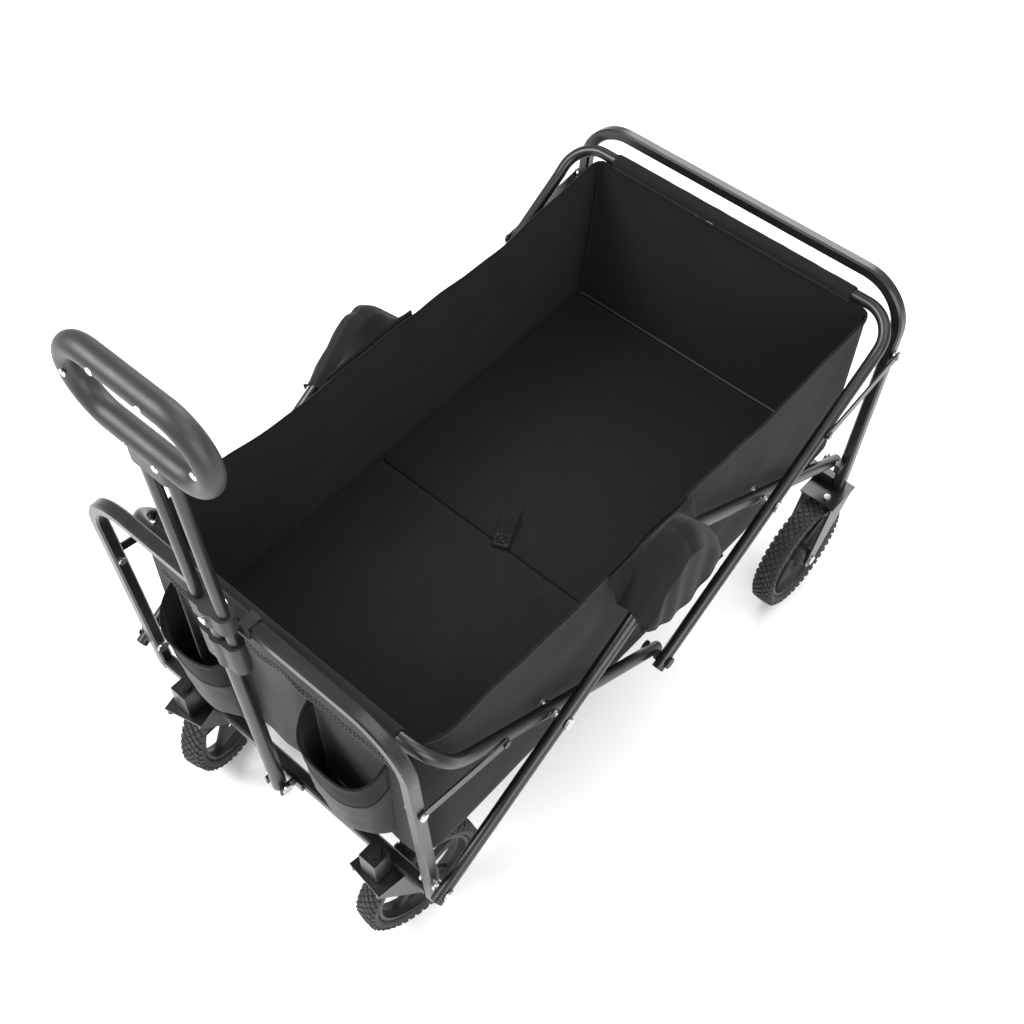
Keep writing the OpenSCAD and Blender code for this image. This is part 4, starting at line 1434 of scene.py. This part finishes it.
    def fit_all(self, wheels: dict[str, float]) -> None:
        """Builds the wheel once and puts a copy in each place.

        Args:
            wheels: Each wheel's name and its turn about Z, in degrees.
        """
        tyre, rim = self.tyre(), self.rim()
        for word, turn in wheels.items():
            low, high = (Vector(c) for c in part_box(word.replace("_", "_tyre_")))
            centre = (low + high) / 2
            place = Matrix.Translation((centre.x, centre.y, self.radius))
            place = place @ Matrix.Rotation(math.radians(turn), 4, "Z")
            body = word.replace("_", "_wheel_")
            end, side = word.split("_")
            tyre_copy = copy_to(tyre, f"{end}_tread_{side}", place)
            rim_copy = copy_to(rim, f"{end}_spokes_{side}", place)
            fit(tyre_copy, body, "tyre_rubber", self.finishes.rubber, f"{end}_tyre_{side}")
            fit(rim_copy, body, "black_plastic", self.finishes.plastic, f"{end}_rim_{side}")
        for pattern in (tyre, rim):
            bpy.data.objects.remove(pattern, do_unlink=True)


# ------------------------------------------------------------------ the handle


@dataclass
class GripScrews:
    """The small bright screws that hold the two shells of the grip together."""

    finishes: Finishes
    foot_x: float
    foot_z: float
    lean: float
    reach: float = 0.722
    face: float = 0.0121
    head: float = 0.0042

    def build(self) -> None:
        """The screws, dished at the middle, on the front shell."""
        screw = drum("screw", (0, 0, 0), self.head, 0.0016, 20)
        with editing(screw):
            choose(screw, "faces", lambda f: f.normal.y < -0.9)
            bpy.ops.mesh.inset(thickness=0.0012)
            bpy.ops.transform.translate(value=(0, -0.0006, 0))
            bpy.ops.mesh.inset(thickness=0.0014)
            bpy.ops.transform.translate(value=(0, 0.0008, 0))
        modify(screw, "BEVEL", width=0.0003, segments=2, limit_method="ANGLE", angle_limit=math.radians(35))
        upright = Matrix.Translation((self.foot_x, 0, self.foot_z))
        upright = upright @ Matrix.Rotation(math.radians(-self.lean), 4, "Y")
        quarter = Matrix.Rotation(-math.pi / 2, 4, "Z")
        rows = ((0.082, 0.0), (0.030, 0.0415), (0.019, -0.046))
        places = [
            upright @ Matrix.Translation((-self.face, side * y, self.reach + s)) @ quarter
            for y, s in rows for side in (-1, 1)
        ]
        obj = smooth(copies(screw, places, "grip_screws"), 35)
        fit(obj, "handle_upper", "zinc", self.finishes.zinc)


# ------------------------------------------------------------------ the studio


@dataclass
class Stage:
    """Pale floor, soft lights and the camera."""

    finishes: Finishes
    eye: tuple = (-0.81998, -0.72271, 1.80839)
    yaw: float = 41.2217
    pitch: float = 53.692
    roll: float = 0.287
    lens: float = 50.46

    def camera(self) -> None:
        """Sets up the scene's camera."""
        yaw, pitch, roll = (math.radians(a) for a in (self.yaw, self.pitch, self.roll))
        level = math.cos(pitch)
        ahead = Vector((math.cos(yaw) * level, math.sin(yaw) * level, -math.sin(pitch)))
        right = Vector((math.sin(yaw), -math.cos(yaw), 0))
        up = right.cross(ahead)
        side = right * math.cos(roll) + up * math.sin(roll)
        top = up * math.cos(roll) - right * math.sin(roll)
        data = bpy.data.cameras.new("camera")
        data.lens = self.lens
        data.sensor_width = 36.0
        data.clip_end = 50.0
        camera = bpy.data.objects.new("camera", data)
        bpy.context.collection.objects.link(camera)
        turn = Matrix((side, top, -ahead)).transposed().to_4x4()
        camera.matrix_world = Matrix.Translation(self.eye) @ turn
        bpy.context.scene.camera = camera

    def light(self, name: str, place: tuple, aim: tuple, size: float, power: float) -> None:
        """A square soft light.

        Args:
            name: Its name.
            place: Where it stands.
            aim: What it points at.
            size: The length of its side.
            power: Its power in watts.
        """
        data = bpy.data.lights.new(name, "AREA")
        data.size = size
        data.energy = power
        lamp = bpy.data.objects.new(name, data)
        bpy.context.collection.objects.link(lamp)
        ahead = (Vector(aim) - Vector(place)).normalized()
        aim_turn = ahead.to_track_quat("-Z", "Y").to_matrix().to_4x4()
        lamp.matrix_world = Matrix.Translation(place) @ aim_turn

    def build(self) -> None:
        """Lays the floor and hangs the lights."""
        clear_selection()
        bpy.ops.mesh.primitive_plane_add(size=16, location=(0, 0, -0.0005))
        floor = named("studio_floor")
        wear(floor, self.finishes.floor)
        world = bpy.data.worlds.new("studio")
        world.use_nodes = True
        sky = world.node_tree.nodes["Background"]
        sky.inputs["Color"].default_value = (1.0, 1.0, 1.0, 1)
        sky.inputs["Strength"].default_value = 0.72
        bpy.context.scene.world = world
        bpy.context.scene.view_settings.view_transform = "Standard"
        self.light("key", (-1.8, 1.4, 2.4), (0, 0, 0.3), 1.4, 95)
        self.light("fill", (-1.2, -2.4, 1.6), (0, 0, 0.3), 1.8, 55)
        self.light("back", (2.2, 0.8, 2.2), (0, 0, 0.3), 1.6, 60)
        self.light("floor_wash", (0.6, -1.4, 3.4), (0.3, -0.5, 0), 2.6, 60)
        self.camera()


# ------------------------------------------------------------------ assembly


def main() -> None:
    """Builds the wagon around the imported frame."""
    logging.basicConfig(level=logging.INFO, format="%(message)s", stream=sys.stdout)
    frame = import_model()
    clear_selection()
    finishes = Finishes()
    Stage(finishes).build()
    SteelFrame(finishes).dress(frame["nodes"])
    seams = Seamstress(finishes)

    low, high = (Vector(c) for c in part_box("basket"))
    front_low, front_high = (Vector(c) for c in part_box("front_hem"))
    rear_low = Vector(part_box("rear_hem")[0])
    basket = Basket(
        finishes, front=low.x, rear=high.x, floor=low.z, half=high.y, floor_rear=high.x - 0.027,
        rim_half=high.y - 0.003, front_rim=front_low.z - 0.0005, rear_rim=rear_low.z - 0.0005,
    )
    for word in ("front", "rear"):
        Hem(finishes, word).build()
    basket.bag()
    FrontPanel(
        finishes, seams, basket, face=low.x, top=front_low.z + 0.003, bottom=low.z - 0.030, half=front_high.y
    ).build()
    for side in Side:
        Handhold(finishes, basket, side).build()
    for word in ("front", "rear"):
        FloorMat(finishes, word).build()
    fold = (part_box("floor_board_front")[1][0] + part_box("floor_board_rear")[0][0]) / 2
    PullTab(finishes, seams, fold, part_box("pull_tab")[0][2] + 0.0006).build()
    Wheel(finishes).fit_all({"front_left": 14.0, "front_right": -7.0, "rear_left": 0.0, "rear_right": 0.0})
    GripScrews(finishes, foot_x=-0.42543, foot_z=0.197, lean=2.387).build()


if __name__ == "__main__":
    main()
